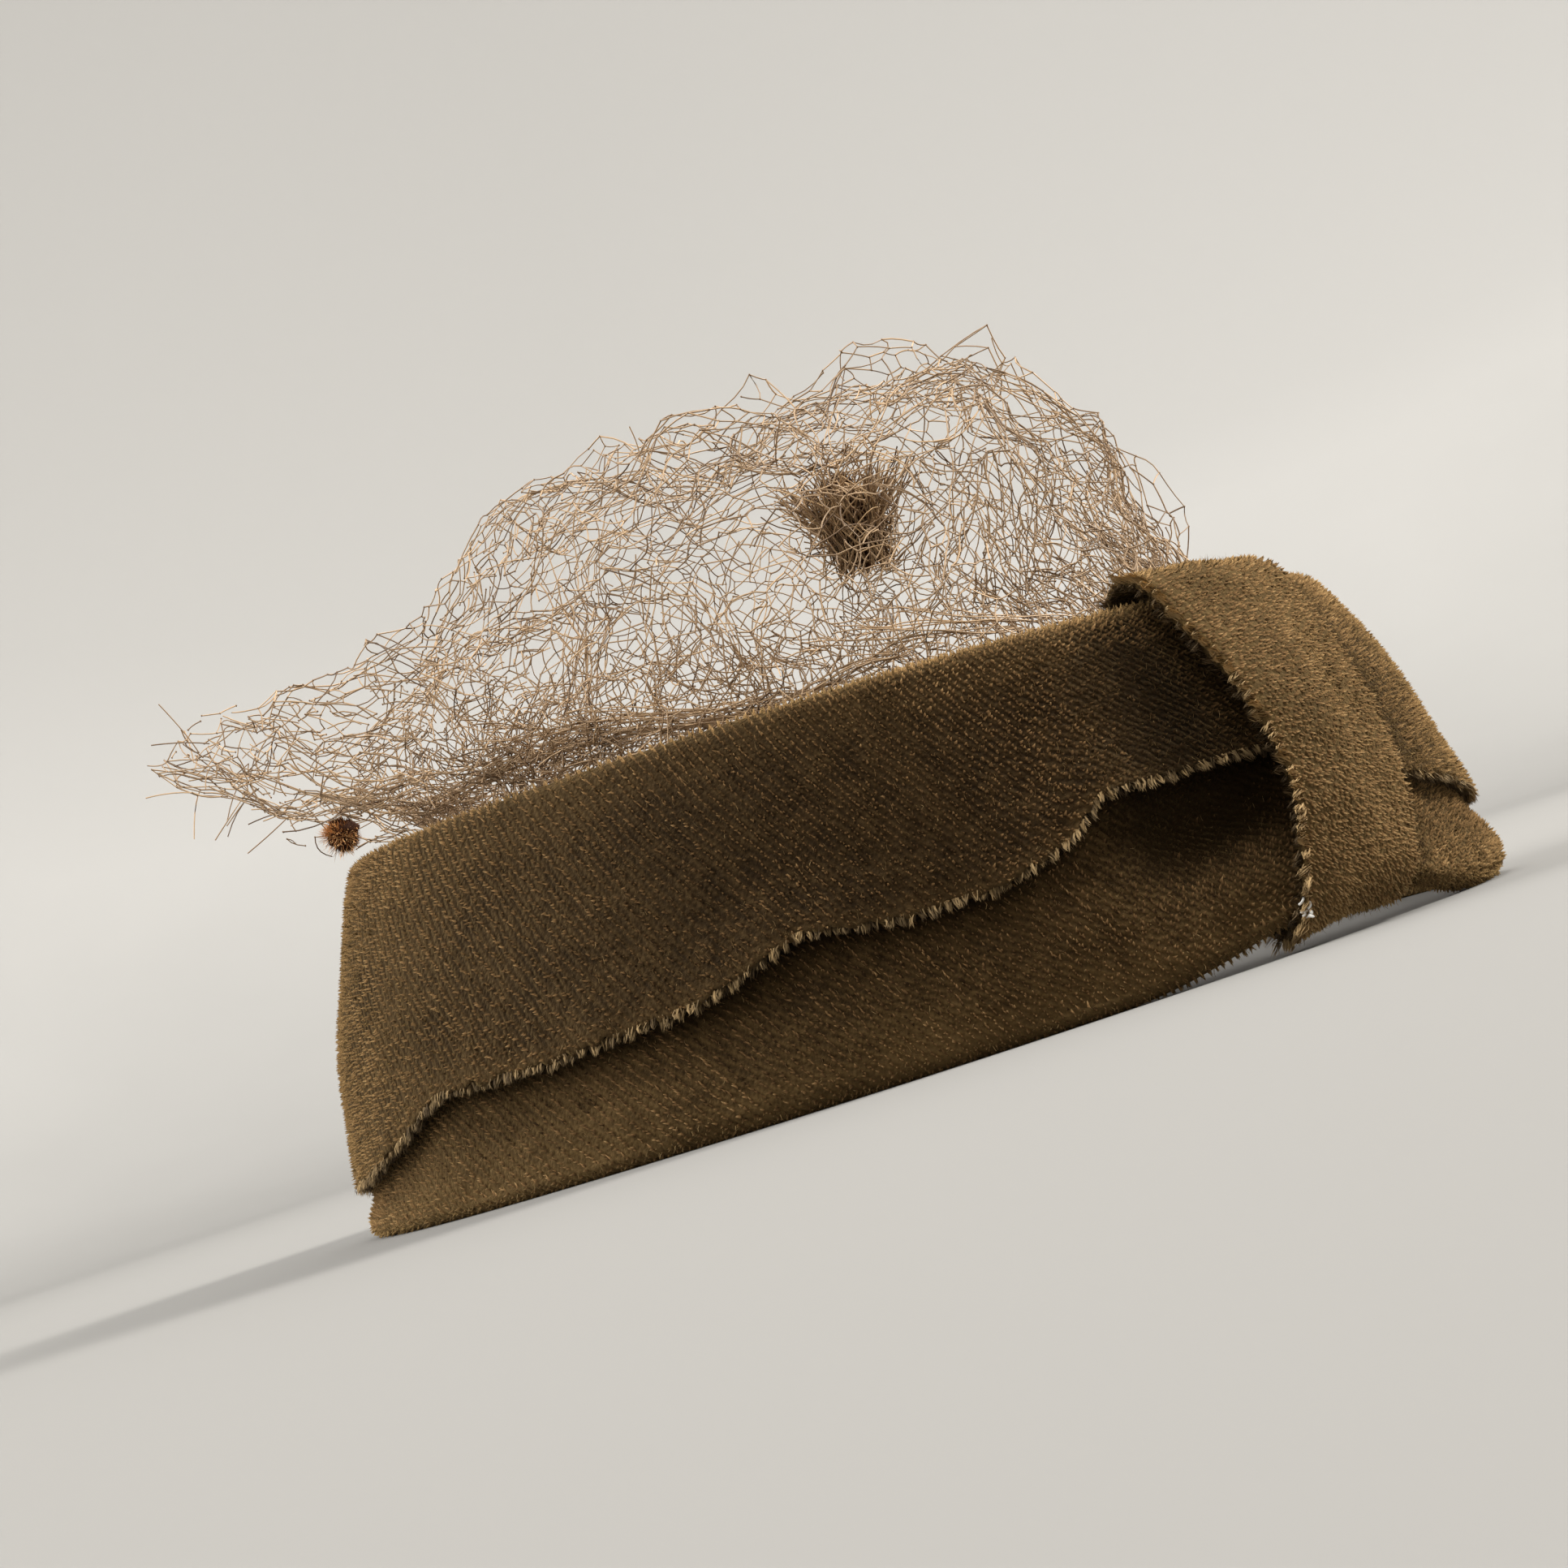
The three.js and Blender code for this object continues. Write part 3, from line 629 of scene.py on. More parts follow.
def base_band(turns):
    """Sections up the outside, over the top edge, down the inside and round the rolled rim."""
    t = turns[:, None]
    height = wall_height(t) - rim_height(t)
    half = BASE_WALL / 2
    low = 2.4 / height
    top = 1 - (COVERED + half) / height - 0.02

    def up(count):
        return low + (top - low) * np.linspace(0, 1, count) ** 1.1

    rise = up(BASE_STEPS["out"])
    lip = LIP["height"] * near_turn(t, LIP["turn"], LIP["spread"]) * bump(rise - LIP["rise"], LIP["reach"])
    outside = wall(t, rise, base_depth(t, rise) + hollow_at(t, rise) - lip)
    uncovered = 1 - smooth((rise - (around(1, t) - 0.08)) / 0.08)
    uneven = uncovered * (0.35 * waves(11, 34, outside) - 0.1 + 0.12 * waves(12, 9, outside))
    outside = outside + skin_normal(t, rise) * uneven[..., None]
    a = np.radians(np.linspace(20, 160, BASE_STEPS["over"]))
    over = wall(t, top + half * np.sin(a) / height, COVERED + half - half * np.cos(a))
    rise = up(BASE_STEPS["in"])[:, ::-1]
    hem = HEM * (1 - smooth((rise - 0.05) / 0.12))
    depth = np.maximum(hem, base_depth(t, rise) + BASE_WALL) + HOLLOW["inside"] * hollow_at(t, rise)
    inside = wall(t, rise, depth)
    a = np.radians(np.linspace(172, 8, BASE_STEPS["rim"]))
    rim = wall(t, low * (1 - np.sin(a)), HEM / 2 - HEM / 2 * np.cos(a))
    return np.concatenate([outside, over, inside, rim], 1)


def make_base_band():
    turns = np.arange(0, 360, 0.6)
    points = base_band(turns)
    worn, deep = np.zeros((2, *points.shape[:2]))
    # painted highlight on the rolled rim and low on the outside
    worn[:, BASE_RIM] = 0.34
    worn[:, :3] = 0.28
    worn[:, 3:6] = 0.12
    raw, t = around(1, turns)[:, None], turns[:, None]
    rise = rise_of(points[:, BASE_OUT, 2], t)
    # painted shade under and behind the folded band's raw edge, in the hollow by the strap, and inside
    covered = 0.75 * bump(rise - raw, 0.07) + 0.6 * (rise > raw)
    deep[:, BASE_OUT] = covered + 0.7 * smooth(hollow_at(t, rise) / 4)
    deep[:, BASE_STEPS["out"] + BASE_STEPS["over"]:-BASE_STEPS["rim"]] = 0.2
    worn = np.clip(worn + np.where(worn > 0, 0.1 * waves(21, 30, points), 0), 0, 0.6)
    return velvet_sheet("base_band", "velvet_base", points, worn, deep,
                        flat=(0.62, 0.068), held="stretched", rests_on=["upper_band_velvet"])


# ---- folded upper band

BAND_STEPS = {"out": 30, "over": 13, "down": 6, "under": 9, "hidden": 15}
BAND_TOP = BAND_STEPS["out"] + BAND_STEPS["over"]  # the steps that show outside


def upper_band(turns):
    """Sections up the outside from the raw edge, over the fold, down the inside, and back within."""
    t = turns[:, None]
    height = wall_height(t) - rim_height(t)
    raw, lift = around(1, t, 1.0), around(2, t)
    raw = raw + 0.45 * waves(31, 2.6, skin(t, raw)) / height
    outer = FOLD_DEPTH / 2
    arch = 1 - outer / height

    def leg(rise, depth):
        p = wall(t, rise, depth - lift * (1 - smooth((rise - raw) / LIFT_REACH)))
        swell = bump(rise - 0.62, 0.42) * (0.55 * waves(32, 42, p) + 0.1)
        near_edge = (1 - smooth((rise - raw) / 0.16)) * (0.28 * waves(33, 13, p) + 0.1)
        return p + skin_normal(t, rise) * (swell + near_edge)[..., None]

    def fold(first, last, count, radius):
        a = np.radians(np.linspace(first, last, count))
        return wall(t, arch + radius * np.sin(a) / height, outer - radius * np.cos(a))

    rise = raw + (arch - raw) * np.linspace(0, 1, BAND_STEPS["out"]) ** 1.15
    down = arch + (INNER_LEG_RISE - arch) * np.linspace(0, 1, BAND_STEPS["down"])
    return np.concatenate([
        leg(rise, 0.0),
        fold(12, 168, BAND_STEPS["over"], outer),
        wall(t, down, FOLD_DEPTH),
        wall(t, down[:, ::-1], FOLD_DEPTH - CLOTH),
        fold(168, 12, BAND_STEPS["under"], outer - CLOTH),
        leg(rise[:, ::-2], CLOTH),
    ], 1)


def make_upper_band():
    turns = np.arange(0, 360, 0.5)
    points, out = upper_band(turns), BAND_STEPS["out"]
    worn, deep = np.zeros((2, *points.shape[:2]))
    patches = waves(22, 26, points)
    # lighter at the raw edge
    worn[:, :2] = 0.3
    worn[:, 2:4] = 0.15
    # painted highlight along the top fold
    worn[:, out - 4:BAND_TOP] = 0.12
    # lighter patches at the left end
    worn += 0.16 * near_turn(turns, 122, 26)[:, None] * smooth((patches + 0.2) / 0.8)
    worn = np.clip(worn + 0.05 * patches * (worn > 0), 0, 0.6)
    # painted shade beside the strap's lifted edge, inside the fold and, darkest, on the part hidden within
    deep[:, :out] += 0.75 * near_turn(turns, 23, 10)[:, None]
    deep[:, BAND_TOP:] = 0.3
    deep[:, -BAND_STEPS["hidden"]:] = 0.7
    return velvet_sheet("upper_band", "velvet_band", points, worn, deep,
                        flat=(0.6, 0.085), held="folded", rests_on=["base_band_velvet"])


# ---- front strap

# rise, out, puff, left, right: stations round the loop, down the outside and up the inside
STRAP_STATIONS = np.array(
    [
        (0.97, 0.7, 2.2, -4, 20.5), (0.84, 0.8, 3.2, -3, 20), (0.66, 1, 4.2, -1.5, 19),
        (0.48, 1.3, 4.4, 0, 18.5), (0.32, 1.2, 4, 1.5, 18.5), (0.18, 1, 2.8, 3, 19.5),
        (0.06, 0.8, 1.4, 5, 20.5), (-0.002, -0.9, 0.2, 6.5, 21), (-0.009, -3.2, 0, 6.5, 21),
        (0.005, -5.9, 0, 6, 20.5), (0.1, -7, 0, 5, 20), (0.25, -7.9, -1.6, 4, 20),
        (0.45, -8.6, -2.6, 3, 20), (0.65, -8.9, -0.8, 1, 20), (0.85, -8.8, 0, -1, 20),
        (0.98, -7.6, 0.3, -3, 20.5), (1.035, -3.7, 1.2, -4.5, 21),
    ]
)
STRAP_CLOTH = 2.0
STRAP_LOOP = np.linspace(0, 1, 220, endpoint=False)
STRAP_SIDE = np.linspace(0, 1, 44)


def closed_spline(values, shares):
    """A closed Catmull-Rom curve through values, at shares from 0 to 1 of the way round."""
    s = shares * len(values)
    i = np.floor(s).astype(int)
    f = s - i
    p0, p1, p2, p3 = (values[(i + k) % len(values)] for k in (-1, 0, 1, 2))
    return 0.5 * (2 * p1 + (p2 - p0) * f + (2 * p0 - 5 * p1 + 4 * p2 - p3) * f**2
                  + (3 * p1 - p0 - 3 * p2 + p3) * f**3)


def front_strap():
    """The inner and the outer face of the strap's loop."""
    rise, out, puff, left, right = (closed_spline(column, STRAP_LOOP)[:, None] for column in STRAP_STATIONS.T)
    inner = wall(left + (right - left) * STRAP_SIDE, rise, -(out + puff * smooth(STRAP_SIDE)))
    along = np.roll(inner, -1, 0) - np.roll(inner, 1, 0)
    n = unit(np.cross(np.gradient(inner, axis=1), along))
    return inner, inner + n * (STRAP_CLOTH + 0.22 * waves(41, 16, inner)[..., None])


def make_front_strap():
    inner, outer = front_strap()
    # the two long edges are rounded over by easing both faces back near them
    mid = (inner + outer) / 2
    edge = np.minimum(STRAP_SIDE, 1 - STRAP_SIDE)[:, None]
    half = (outer - mid) * (1 - 0.35 * np.clip(1 - edge / 0.05, 0, 1) ** 2)
    points = np.concatenate([mid + half, (mid - half)[:, ::-1]], 1)
    worn, deep = np.zeros((2, *points.shape[:2]))
    n = len(STRAP_SIDE)
    # painted highlight along both long edges of the outer face
    worn[:, :n] = (0.06 + 0.5 * np.clip(1 - STRAP_SIDE / 0.07, 0, 1)
                   + 0.25 * np.clip(STRAP_SIDE / 0.1 - 9, 0, 1))
    # painted shade on the inner face, which lies against the band
    deep[:, n:] = 0.75
    return velvet_sheet("front_strap", "velvet_strap", points, worn, deep, flat=(0.036, 0.152), held="folded",
                        rests_on=["upper_band_velvet", "base_band_velvet"])


# ---- strands, blades and raw edges


def crosswise(direction):
    """A unit vector across each direction."""
    d = unit(direction)
    return unit(np.cross(d, np.where(np.abs(d[..., 2:3]) < 0.9, [0.0, 0.0, 1.0], [1.0, 0.0, 0.0])))


def tubes(lines, radius, tone, sides=3):
    """Points, faces and tones of thin tubes along lines (lines, points, 3). Their ends stay open."""
    count, steps = lines.shape[:2]
    d = np.gradient(lines, axis=1)
    a = crosswise(d)[:, :, None]
    b = np.cross(unit(d)[:, :, None], a)
    angle = (np.arange(sides) * 2 * np.pi / sides)[:, None]
    ring = a * np.cos(angle) + b * np.sin(angle)
    points = lines[:, :, None] + ring * np.broadcast_to(radius, count)[:, None, None, None]
    faces = grid_faces(steps, sides, open_rows=1) + steps * sides * np.arange(count)[:, None, None]
    return points.reshape(-1, 3), faces.reshape(-1, 4), np.repeat(tone, steps * sides)


def strands(name, parts, mat, slot, node=None):
    """A piece of several parts, each points, faces and tones. Mixed faces are all cut into triangles."""
    points, faces, tones = zip(*parts)
    if len({f.shape[1] for f in faces}) > 1:
        faces = [f if f.shape[1] == 3 else np.concatenate([f[:, [0, 1, 2]], f[:, [0, 2, 3]]]) for f in faces]
    starts = np.cumsum([0, *(len(p) for p in points[:-1])])
    faces = np.concatenate([f + k for f, k in zip(faces, starts)])
    piece(name, np.concatenate(points), faces, mat, slot, node, tone=np.concatenate(tones))


def blades(name, roots, tips, width, bend, tone, mat, slot):
    """A piece of thin leaves from roots to tips, three triangles each and bent halfway."""
    w = crosswise(tips - roots) * width[:, None] / 2
    middle = (roots + tips) / 2 + bend
    points = np.stack([roots - w, roots + w, middle + w * 0.9, tips, middle - w * 0.9], 1)
    first = 5 * np.arange(len(roots))[:, None]
    faces = np.concatenate([first + corners for corners in ([0, 1, 2], [0, 2, 4], [4, 2, 3])])
    return piece(name, points.reshape(-1, 3), faces, mat, slot, tone=np.repeat(tone, 5))


def fringe(rng, line, outward, normal, pitch, length, fibres, shades, spread=0.16):
    """Roots, tips, widths, bends and tones of teeth of pile, so many fibres each, that stick out of a
    raw edge. line, outward and normal run along the edge, and outward points away from the cloth."""
    gather = 0.7  # how far the fibres of a tooth draw together towards its point
    at = running(gaps(line, 0))
    centres = np.arange(0.3, at[-1], pitch)
    n = len(centres)
    teeth = (centres + rng.uniform(-0.22, 0.22, n) * pitch, rng.uniform(0.65, 1.25, n),
             rng.normal(0, 0.22, n), rng.normal(0.08, 0.22, n), rng.uniform(*shades, n))
    centre, size, lean, lean_up, shade = (np.repeat(values, fibres) for values in teeth)
    n = len(centre)
    along = centre + rng.uniform(-0.5, 0.5, n) * pitch

    def at_place(values, where):
        return np.stack([np.interp(where, at, values[:, k]) for k in range(3)], -1)

    out, up = at_place(outward, centre), at_place(normal, centre)
    side = np.cross(out, up)
    level = up * rng.uniform(-0.8, 0.8, (n, 1))
    direction = unit(out + side * (lean + rng.normal(0, spread, n))[:, None]
                     + up * (lean_up + rng.normal(0, spread, n))[:, None])
    long = (length * size * rng.uniform(0.6, 1.05, n))[:, None]
    roots = at_place(line, along) - out * 0.6 + level
    tips = at_place(line, along + (centre - along) * gather) + direction * long + level * (1 - gather)
    bend = (up * rng.normal(0, 0.14, (n, 1)) + side * rng.normal(0, 0.12, (n, 1))) * long
    width = rng.uniform(0.16, 0.34, n)
    return roots, tips, width, bend, np.clip(shade + rng.normal(0, 0.15, n), 0, 1)


def make_raw_edges():
    rng = np.random.default_rng(5)
    # the folded band's lower edge, outside: the pile's teeth, and the backing's below them
    turns = np.append(np.arange(0, 360, 0.5), 0.0)
    raw, lift = around(1, turns, 1.0), around(2, turns)
    down = unit(skin(turns, raw - 0.02) - skin(turns, raw))
    out = skin_normal(turns, raw)
    pile = [fringe(rng, wall(turns, raw, CLOTH * 0.2 - lift), unit(down + 0.4 * out), out,
                   pitch=1.35, length=1.7, fibres=14, shades=(0.05, 0.62))]
    backing = [fringe(rng, wall(turns, raw, CLOTH * 0.8 - lift), unit(down + 0.05 * out), out,
                      pitch=1.6, length=1.2, fibres=8, shades=(0.0, 0.5))]
    inner, outer = front_strap()

    def strap_edge(loop, edge, within, depth, tilt, **teeth):
        """A fringe at that share of the cloth's depth, which points away from the column within."""
        below, above = inner[loop, edge], outer[loop, edge]
        up = unit(above - below)
        away = unit(unit(above - outer[loop, within]) + tilt * up)
        return fringe(rng, below * depth + above * (1 - depth), away, up, **teeth)

    # the strap's raw edge on the wearer's right stands off the band, from inside the top to the rim
    loop = np.arange(-36, 126)
    # painted light: the strap's teeth, here and on its other edge, get lighter shades than the band's
    pile.append(strap_edge(loop, -1, -4, 0.1, 0.45, pitch=1.8, length=2.4, fibres=30, spread=0.1,
                           shades=(0.55, 1.0)))
    backing.append(strap_edge(loop, -1, -4, 0.75, -0.15, pitch=1.8, length=2.0, fibres=22, spread=0.1,
                              shades=(0.15, 0.75)))
    # the other edge is turned under above and frays only over the lower third
    loop = np.nonzero((STRAP_LOOP > 0.2) & (STRAP_LOOP < 0.44))[0]
    pile.append(strap_edge(loop, 0, 3, 0.4, 0.2, pitch=2.0, length=1.7, fibres=22, shades=(0.4, 0.85)))
    return [blades(name, *map(np.concatenate, zip(*sets)), thread(name), "velvet_band")
            for name, sets in (("raw_edge_pile", pile), ("raw_edge_backing", backing))]


# ---- pile

# The velvet was cut across its weave and stretched round the ring, so its rows slant more steeply near
# the front than at the side: turn, and the angle of the rows to the length of the cloth in degrees.
ROW_SLANT = np.array([(0, 60), (50, 64), (68, 56), (86, 44), (104, 43), (150, 52), (360, 60)], float)
BAND_ROWS = {"pitch": 1.25, "spacing": 0.56, "length": 0.95, "width": (0.4, 0.28), "ragged": 0.35}
STRAP_ROWS = {"pitch": 0.9, "spacing": 0.66, "length": 0.85, "width": (0.42, 0.36), "ragged": 0.4}
TUFT_ROOT = 0.2  # how deep a tuft's root sits in the cloth
FLOOR_GAP = 0.02  # no tuft reaches lower than this
SNAG = {"turn": 70.5, "rise": 0.8}  # a small pulled place on the folded band


def row_warp(u_at):
    """How far along the cloth a place comes to lie, and its row angle, where ROW_SLANT turns the rows."""
    slant = np.interp(np.linspace(0, 360, len(u_at)), ROW_SLANT[:, 0], ROW_SLANT[:, 1])
    rate = np.tan(np.radians(slant)) / math.tan(math.radians(ROW_SLANT[0, 1]))
    return running((rate[1:] + rate[:-1]) / 2 * np.diff(u_at)), slant


def on_grid(points, i, j, fi, fj):
    """Places between the points of a grid that closes over its rows, and the unit vectors along,
    across and out of it there."""
    p00, p01 = points[i, j], points[i, j + 1]
    i, fi, fj = (i + 1) % len(points), fi[:, None], fj[:, None]
    p10, p11 = points[i, j], points[i, j + 1]
    along, across = unit(p10 - p00), unit(p01 - p00)
    p = (p00 * (1 - fj) + p01 * fj) * (1 - fi) + (p10 * (1 - fj) + p11 * fj) * fi
    return p, along, across, unit(np.cross(across, along))


def pile_piece(name, mat, slot, surface, limit, worn, seed, angle, level, lean, wander, pitch, spacing,
               length, width, ragged, slanted=True, facing=1):
    """Tufts in rows over a surface (turns, steps, 3) that closes over its turns, as three-sided spikes.
    limit is how far they reach from the first step, in mm, at each turn. The rows run at angle degrees
    to the length of the cloth, and lean is how far the nap leans along the length and across it.
    level is the tufts' tone, and the function for wear and painted light adds to it. facing is -1 where the steps run
    down the outside."""
    rng = np.random.default_rng(seed)
    u_at = running(gaps(np.concatenate([surface, surface[:1]]), 0).mean(1))
    v_at = running(gaps(surface, 1))
    c, s = math.cos(math.radians(angle)), math.sin(math.radians(angle))
    warped, slant = row_warp(u_at) if slanted else (u_at, np.full(len(u_at), abs(angle)))
    far = limit.max()
    ends = np.array([(0, 0), (warped[-1], 0), (0, far), (warped[-1], far)])
    grid = ((e.min(), e.max(), step) for e, step in ((ends @ [-s, c], pitch), (ends @ [c, s], spacing)))
    across, along = np.meshgrid(*(np.arange(*g) for g in grid), indexing="ij")
    along = along + rng.uniform(0, spacing, (len(along), 1)) + rng.normal(0, ragged * spacing, along.shape)
    across = across + rng.normal(0, wander * pitch, across.shape)
    row_shade = np.repeat(rng.normal(0, 0.08 if slanted else 0.02, len(along)), along.shape[1])
    across, along = across.ravel(), along.ravel()
    u = np.interp(along * c - across * s, warped, u_at, left=-1, right=u_at[-1] + 1)
    v = along * s + across * c
    sway = 0.5 * waves(seed + 1, 30, np.stack([u, v, 0 * u], -1), dims=2)
    u, v = u + sway[:, 0], v + sway[:, 1]
    fi = np.interp(u, u_at, np.arange(len(u_at)))
    i = np.minimum(fi.astype(int), len(surface) - 1)
    keep = (u >= 0) & (u < u_at[-1]) & (v >= 0) & (v < limit[i])
    u, v, fi, i, row_shade = (values[keep] for values in (u, v, fi, i, row_shade))
    j = np.clip((v_at[i] < v[:, None]).sum(1) - 1, 0, surface.shape[1] - 2)
    fj = np.clip((v - v_at[i, j]) / np.maximum(v_at[i, j + 1] - v_at[i, j], 1e-6), 0, 1)
    p, tu, tv, n = on_grid(surface, i, j, fi - i, fj)
    n = n * facing
    local = (np.radians(np.interp(u, u_at, slant)) * math.copysign(1, angle))[:, None]
    row = unit(tu * np.cos(local) + tv * np.sin(local))
    side = np.cross(n, row)
    turned = (0.4 * waves(seed + 2, 32, p) + 0.3 * waves(seed + 3, 11, p))[:, None]
    nap = tu * lean[0] + tv * lean[1]
    nap = nap * np.cos(turned) + np.cross(n, nap) * np.sin(turned)
    direction = unit(n + nap + rng.normal(0, 0.18, p.shape))
    tip = p + direction * length * rng.uniform(0.65, 1.25, (len(p), 1))
    start = rng.uniform(0, 2 * np.pi, (len(p), 1))
    spokes = [row * np.cos(start + k) * width[0] + side * np.sin(start + k) * width[1]
              for k in (0, 2 * np.pi / 3, 4 * np.pi / 3)]
    points = np.stack([*(p - n * TUFT_ROOT + spoke for spoke in spokes), tip], 1)
    points[..., 2] = np.maximum(points[..., 2], FLOOR_GAP)
    # pile takes the light much as the cloth under it does, so its normals lie between the two
    normals = np.stack([*(unit(n * 0.75 + spoke) for spoke in spokes), unit(n + direction * 0.4)], 1)
    faces = np.array([(0, 1, 3), (1, 2, 3), (2, 0, 3)]) + 4 * np.arange(len(p))[:, None, None]
    shade = (level + 0.05 * waves(seed + 4, 40, p) + 0.045 * waves(seed + 5, 9, p) + row_shade
             + rng.normal(0, 0.13, len(p)))
    shade = np.clip(shade + worn(p, u / u_at[-1], v, limit[i]), 0.05, 1)
    # painted shade: the three root corners of each tuft take a small share of its tone, the tip all of it
    return piece(name, points.reshape(-1, 3), faces.reshape(-1, 3), mat, slot,
                 normals=normals.reshape(-1, 3), tone=np.stack([shade * 0.15] * 3 + [shade], 1))


def beside_strap(turn, rise):
    """How near a place of the bands lies to the strap's edge on the wearer's left, from 0 to 1, where a painted shadow
    goes.
    """
    edge = np.interp(rise, STRAP_STATIONS[7::-1, 0], STRAP_STATIONS[7::-1, 3])
    return near_turn(turn, edge - 3.8, 3.0)


def band_wear_and_painted_light(p, share, v, reach):
    """What is added to the tone of the folded band's tufts, v mm from inside the top fold: painted light and shade, a
    snag, and lighter streaks and edges.
    """
    turn = share * 360
    # lighter streaks at the left end
    streaks = near_turn(turn, 119, 13) * np.clip(0.4 + waves(61, 9, p), 0, 1)
    # painted light on the band near turns 108 and -34
    side = 0.14 * near_turn(turn, 108, 40) + 0.1 * near_turn(turn, -34, 30)
    # painted shadow beside the strap's lifted edge
    dark = near_turn(turn, 23, 10) * smooth((v - 11) / 8) + beside_strap(turn, rise_of(p[:, 2], turn))
    snag = np.linalg.norm(p - wall(SNAG["turn"], SNAG["rise"], 0.0), axis=-1)
    mark = 0.3 * bump(snag - 2.6, 0.9) - 0.4 * bump(snag, 2.2)
    # lighter at the raw edge
    edge = 0.08 * np.clip(1 - (reach - v) / 2.5, 0, 1)
    # the first term is a painted highlight along the top fold
    return 0.16 * bump(v - 11.5, 8) + side - 0.5 * dark + mark + 0.3 * streaks + edge


def rim_painted_light_and_shade(p, share, v, reach):
    """Painted light and shade added to the tone of the base band's tufts, v mm from inside the rolled rim."""
    turn = share * 360
    rise = rise_of(p[:, 2], turn)
    # painted highlight round the rolled rim, a little darker higher up
    rolled = 0.32 * bump(v - 13, 8) - 0.08 * smooth((v - 22) / 10)
    # painted shade just under the folded band's raw edge, round turn 60
    shaded = 0.2 * bump(reach - v, 5) * near_turn(turn, 60, 75)
    # painted shade in the hollow by the strap and beside its edge
    return rolled - 0.5 * smooth(hollow_at(turn, rise) / 4) - shaded - 0.5 * beside_strap(turn, rise)


def strap_painted_light(p, share, v, reach):
    """Painted light added to the tone of the strap's tufts, v mm down from inside the top of the hat."""
    # painted highlight along both edges
    edges = 0.1 * np.clip(1 - share / 0.08, 0, 1) + 0.4 * np.clip((share - 0.9) / 0.1, 0, 1)
    # painted light, more of it lower down the strap
    return edges + 0.06 * bump(v - 20, 18) + 0.28 * smooth((v - 30) / 35)


def make_piles():
    brown = pile_material()
    turns = np.arange(0, 360, 1.0)
    # the folded band: from inside its top fold, over it and down to the raw edge
    outer = upper_band(turns)[:, BAND_TOP - 1::-1]
    reach = gaps(outer, 1).sum(1) - 0.3
    band = pile_piece("upper_band_pile", brown, "velvet_band", outer, reach, band_wear_and_painted_light, seed=201, angle=-60,
                      level=0.52, lean=(-0.14, 0.26), wander=0.07, facing=-1, **BAND_ROWS)
    # the base band: from inside its rolled rim, round it and up to just under the raw edge
    points, inside = base_band(turns), BASE_STEPS["rim"] + 4
    low = np.concatenate([points[:, -inside:], points[:, BASE_OUT]], 1)
    reach = running(gaps(low, 1))[:, inside:]
    rise = rise_of(low[:, inside:, 2], turns[:, None])
    stop = np.array([np.interp(raw + 0.03, rise[k], reach[k]) for k, raw in enumerate(around(1, turns))])
    base = pile_piece("base_band_pile", brown, "velvet_base", low, stop, rim_painted_light_and_shade,
                      seed=301, angle=60, level=0.5, lean=(0.14, 0.26), wander=0.08, **BAND_ROWS)
    # the strap's outer face, over the top of the hat, down its front and round under the rim. It is
    # open at both sides, so its last column is repeated with no reach and nothing closes.
    outer = front_strap()[1]
    face = np.concatenate([outer[-24:], outer[:128]]).transpose(1, 0, 2)[::-1]
    reach = np.append(gaps(face, 1).sum(1) - 0.3, 0)
    face = np.concatenate([face, face[-1:]])
    # painted light: the strap's tufts are set lighter than the bands'
    strap = pile_piece("front_strap_pile", brown, "velvet_strap", face, reach, strap_painted_light, seed=401, angle=78,
                       level=0.66, lean=(0.2, 0.75), wander=0.2, slanted=False, **STRAP_ROWS)
    return band, base, strap


def make_fuzz():
    """Longer loose fibres all over the velvet, which soften its outline."""
    rng = np.random.default_rng(6)
    turns = np.arange(0, 360, 1.0)
    base, upper, strap = base_band(turns), upper_band(turns), front_strap()[1]
    rim = base.shape[1] - BASE_STEPS["rim"]
    sets = []
    for points, count, low, high in (
        (base, 2500, 0, 14), (base, 3500, rim, base.shape[1] - 1), (upper, 7000, 0, BAND_STEPS["out"]),
        (upper, 4000, BAND_STEPS["out"], BAND_TOP), (strap, 2500, 0, len(STRAP_SIDE) - 1),
    ):
        i, j = rng.integers(0, len(points), count), rng.integers(low, high, count)
        p, _, _, n = on_grid(points, i, j, rng.random(count), rng.random(count))
        direction = unit(n + rng.normal(0, 0.6, (count, 3)))
        long = rng.uniform(0.9, 1.7, (count, 1))
        sets.append((p - n * 0.1, p + direction * long, rng.uniform(0.04, 0.08, count),
                     rng.normal(0, 0.16, (count, 3)), rng.uniform(0.2, 1, count)))
    roots, tips, *rest = map(np.concatenate, zip(*sets))
    tips[:, 2] = np.maximum(tips[:, 2], 0.05)
    return blades("velvet_fuzz", roots, tips, *rest, thread("velvet_fuzz"), "velvet_band")


# ---- net veil

# front, back, height, wing, lift, fold, as in the solids
VEIL_STATIONS = np.array(
    [
        (0.85, 0.87, -9, 0, 0, 0), (0.8, 0.86, 1, 0, 0, 0.3), (0.79, 0.9, 10, 22, 3, 1),
        (0.77, 0.84, 21, 44, 8, 1.6), (0.72, 0.74, 34, 13, -13, 2.4), (0.61, 0.62, 46, 2, -5, 3),
        (0.46, 0.49, 52, 0, 0, 2.6), (0.29, 0.33, 53, 0, 0, 1.6), (0.12, 0.15, 51, 0, 0, 0.4),
        (0.0, 0.0, 50.5, 0, 0, 0),
    ]
)
VEIL_LAST = 8
VEIL = {"wing_turn": 136.0, "wing_spread": 46.0, "crown": 62.0}
TUFT = {"x": -21.0, "y": -38.0, "top": 98.5, "radius": 6.0, "stretch": 1.8, "dip": 7.0, "spread": 26.0}
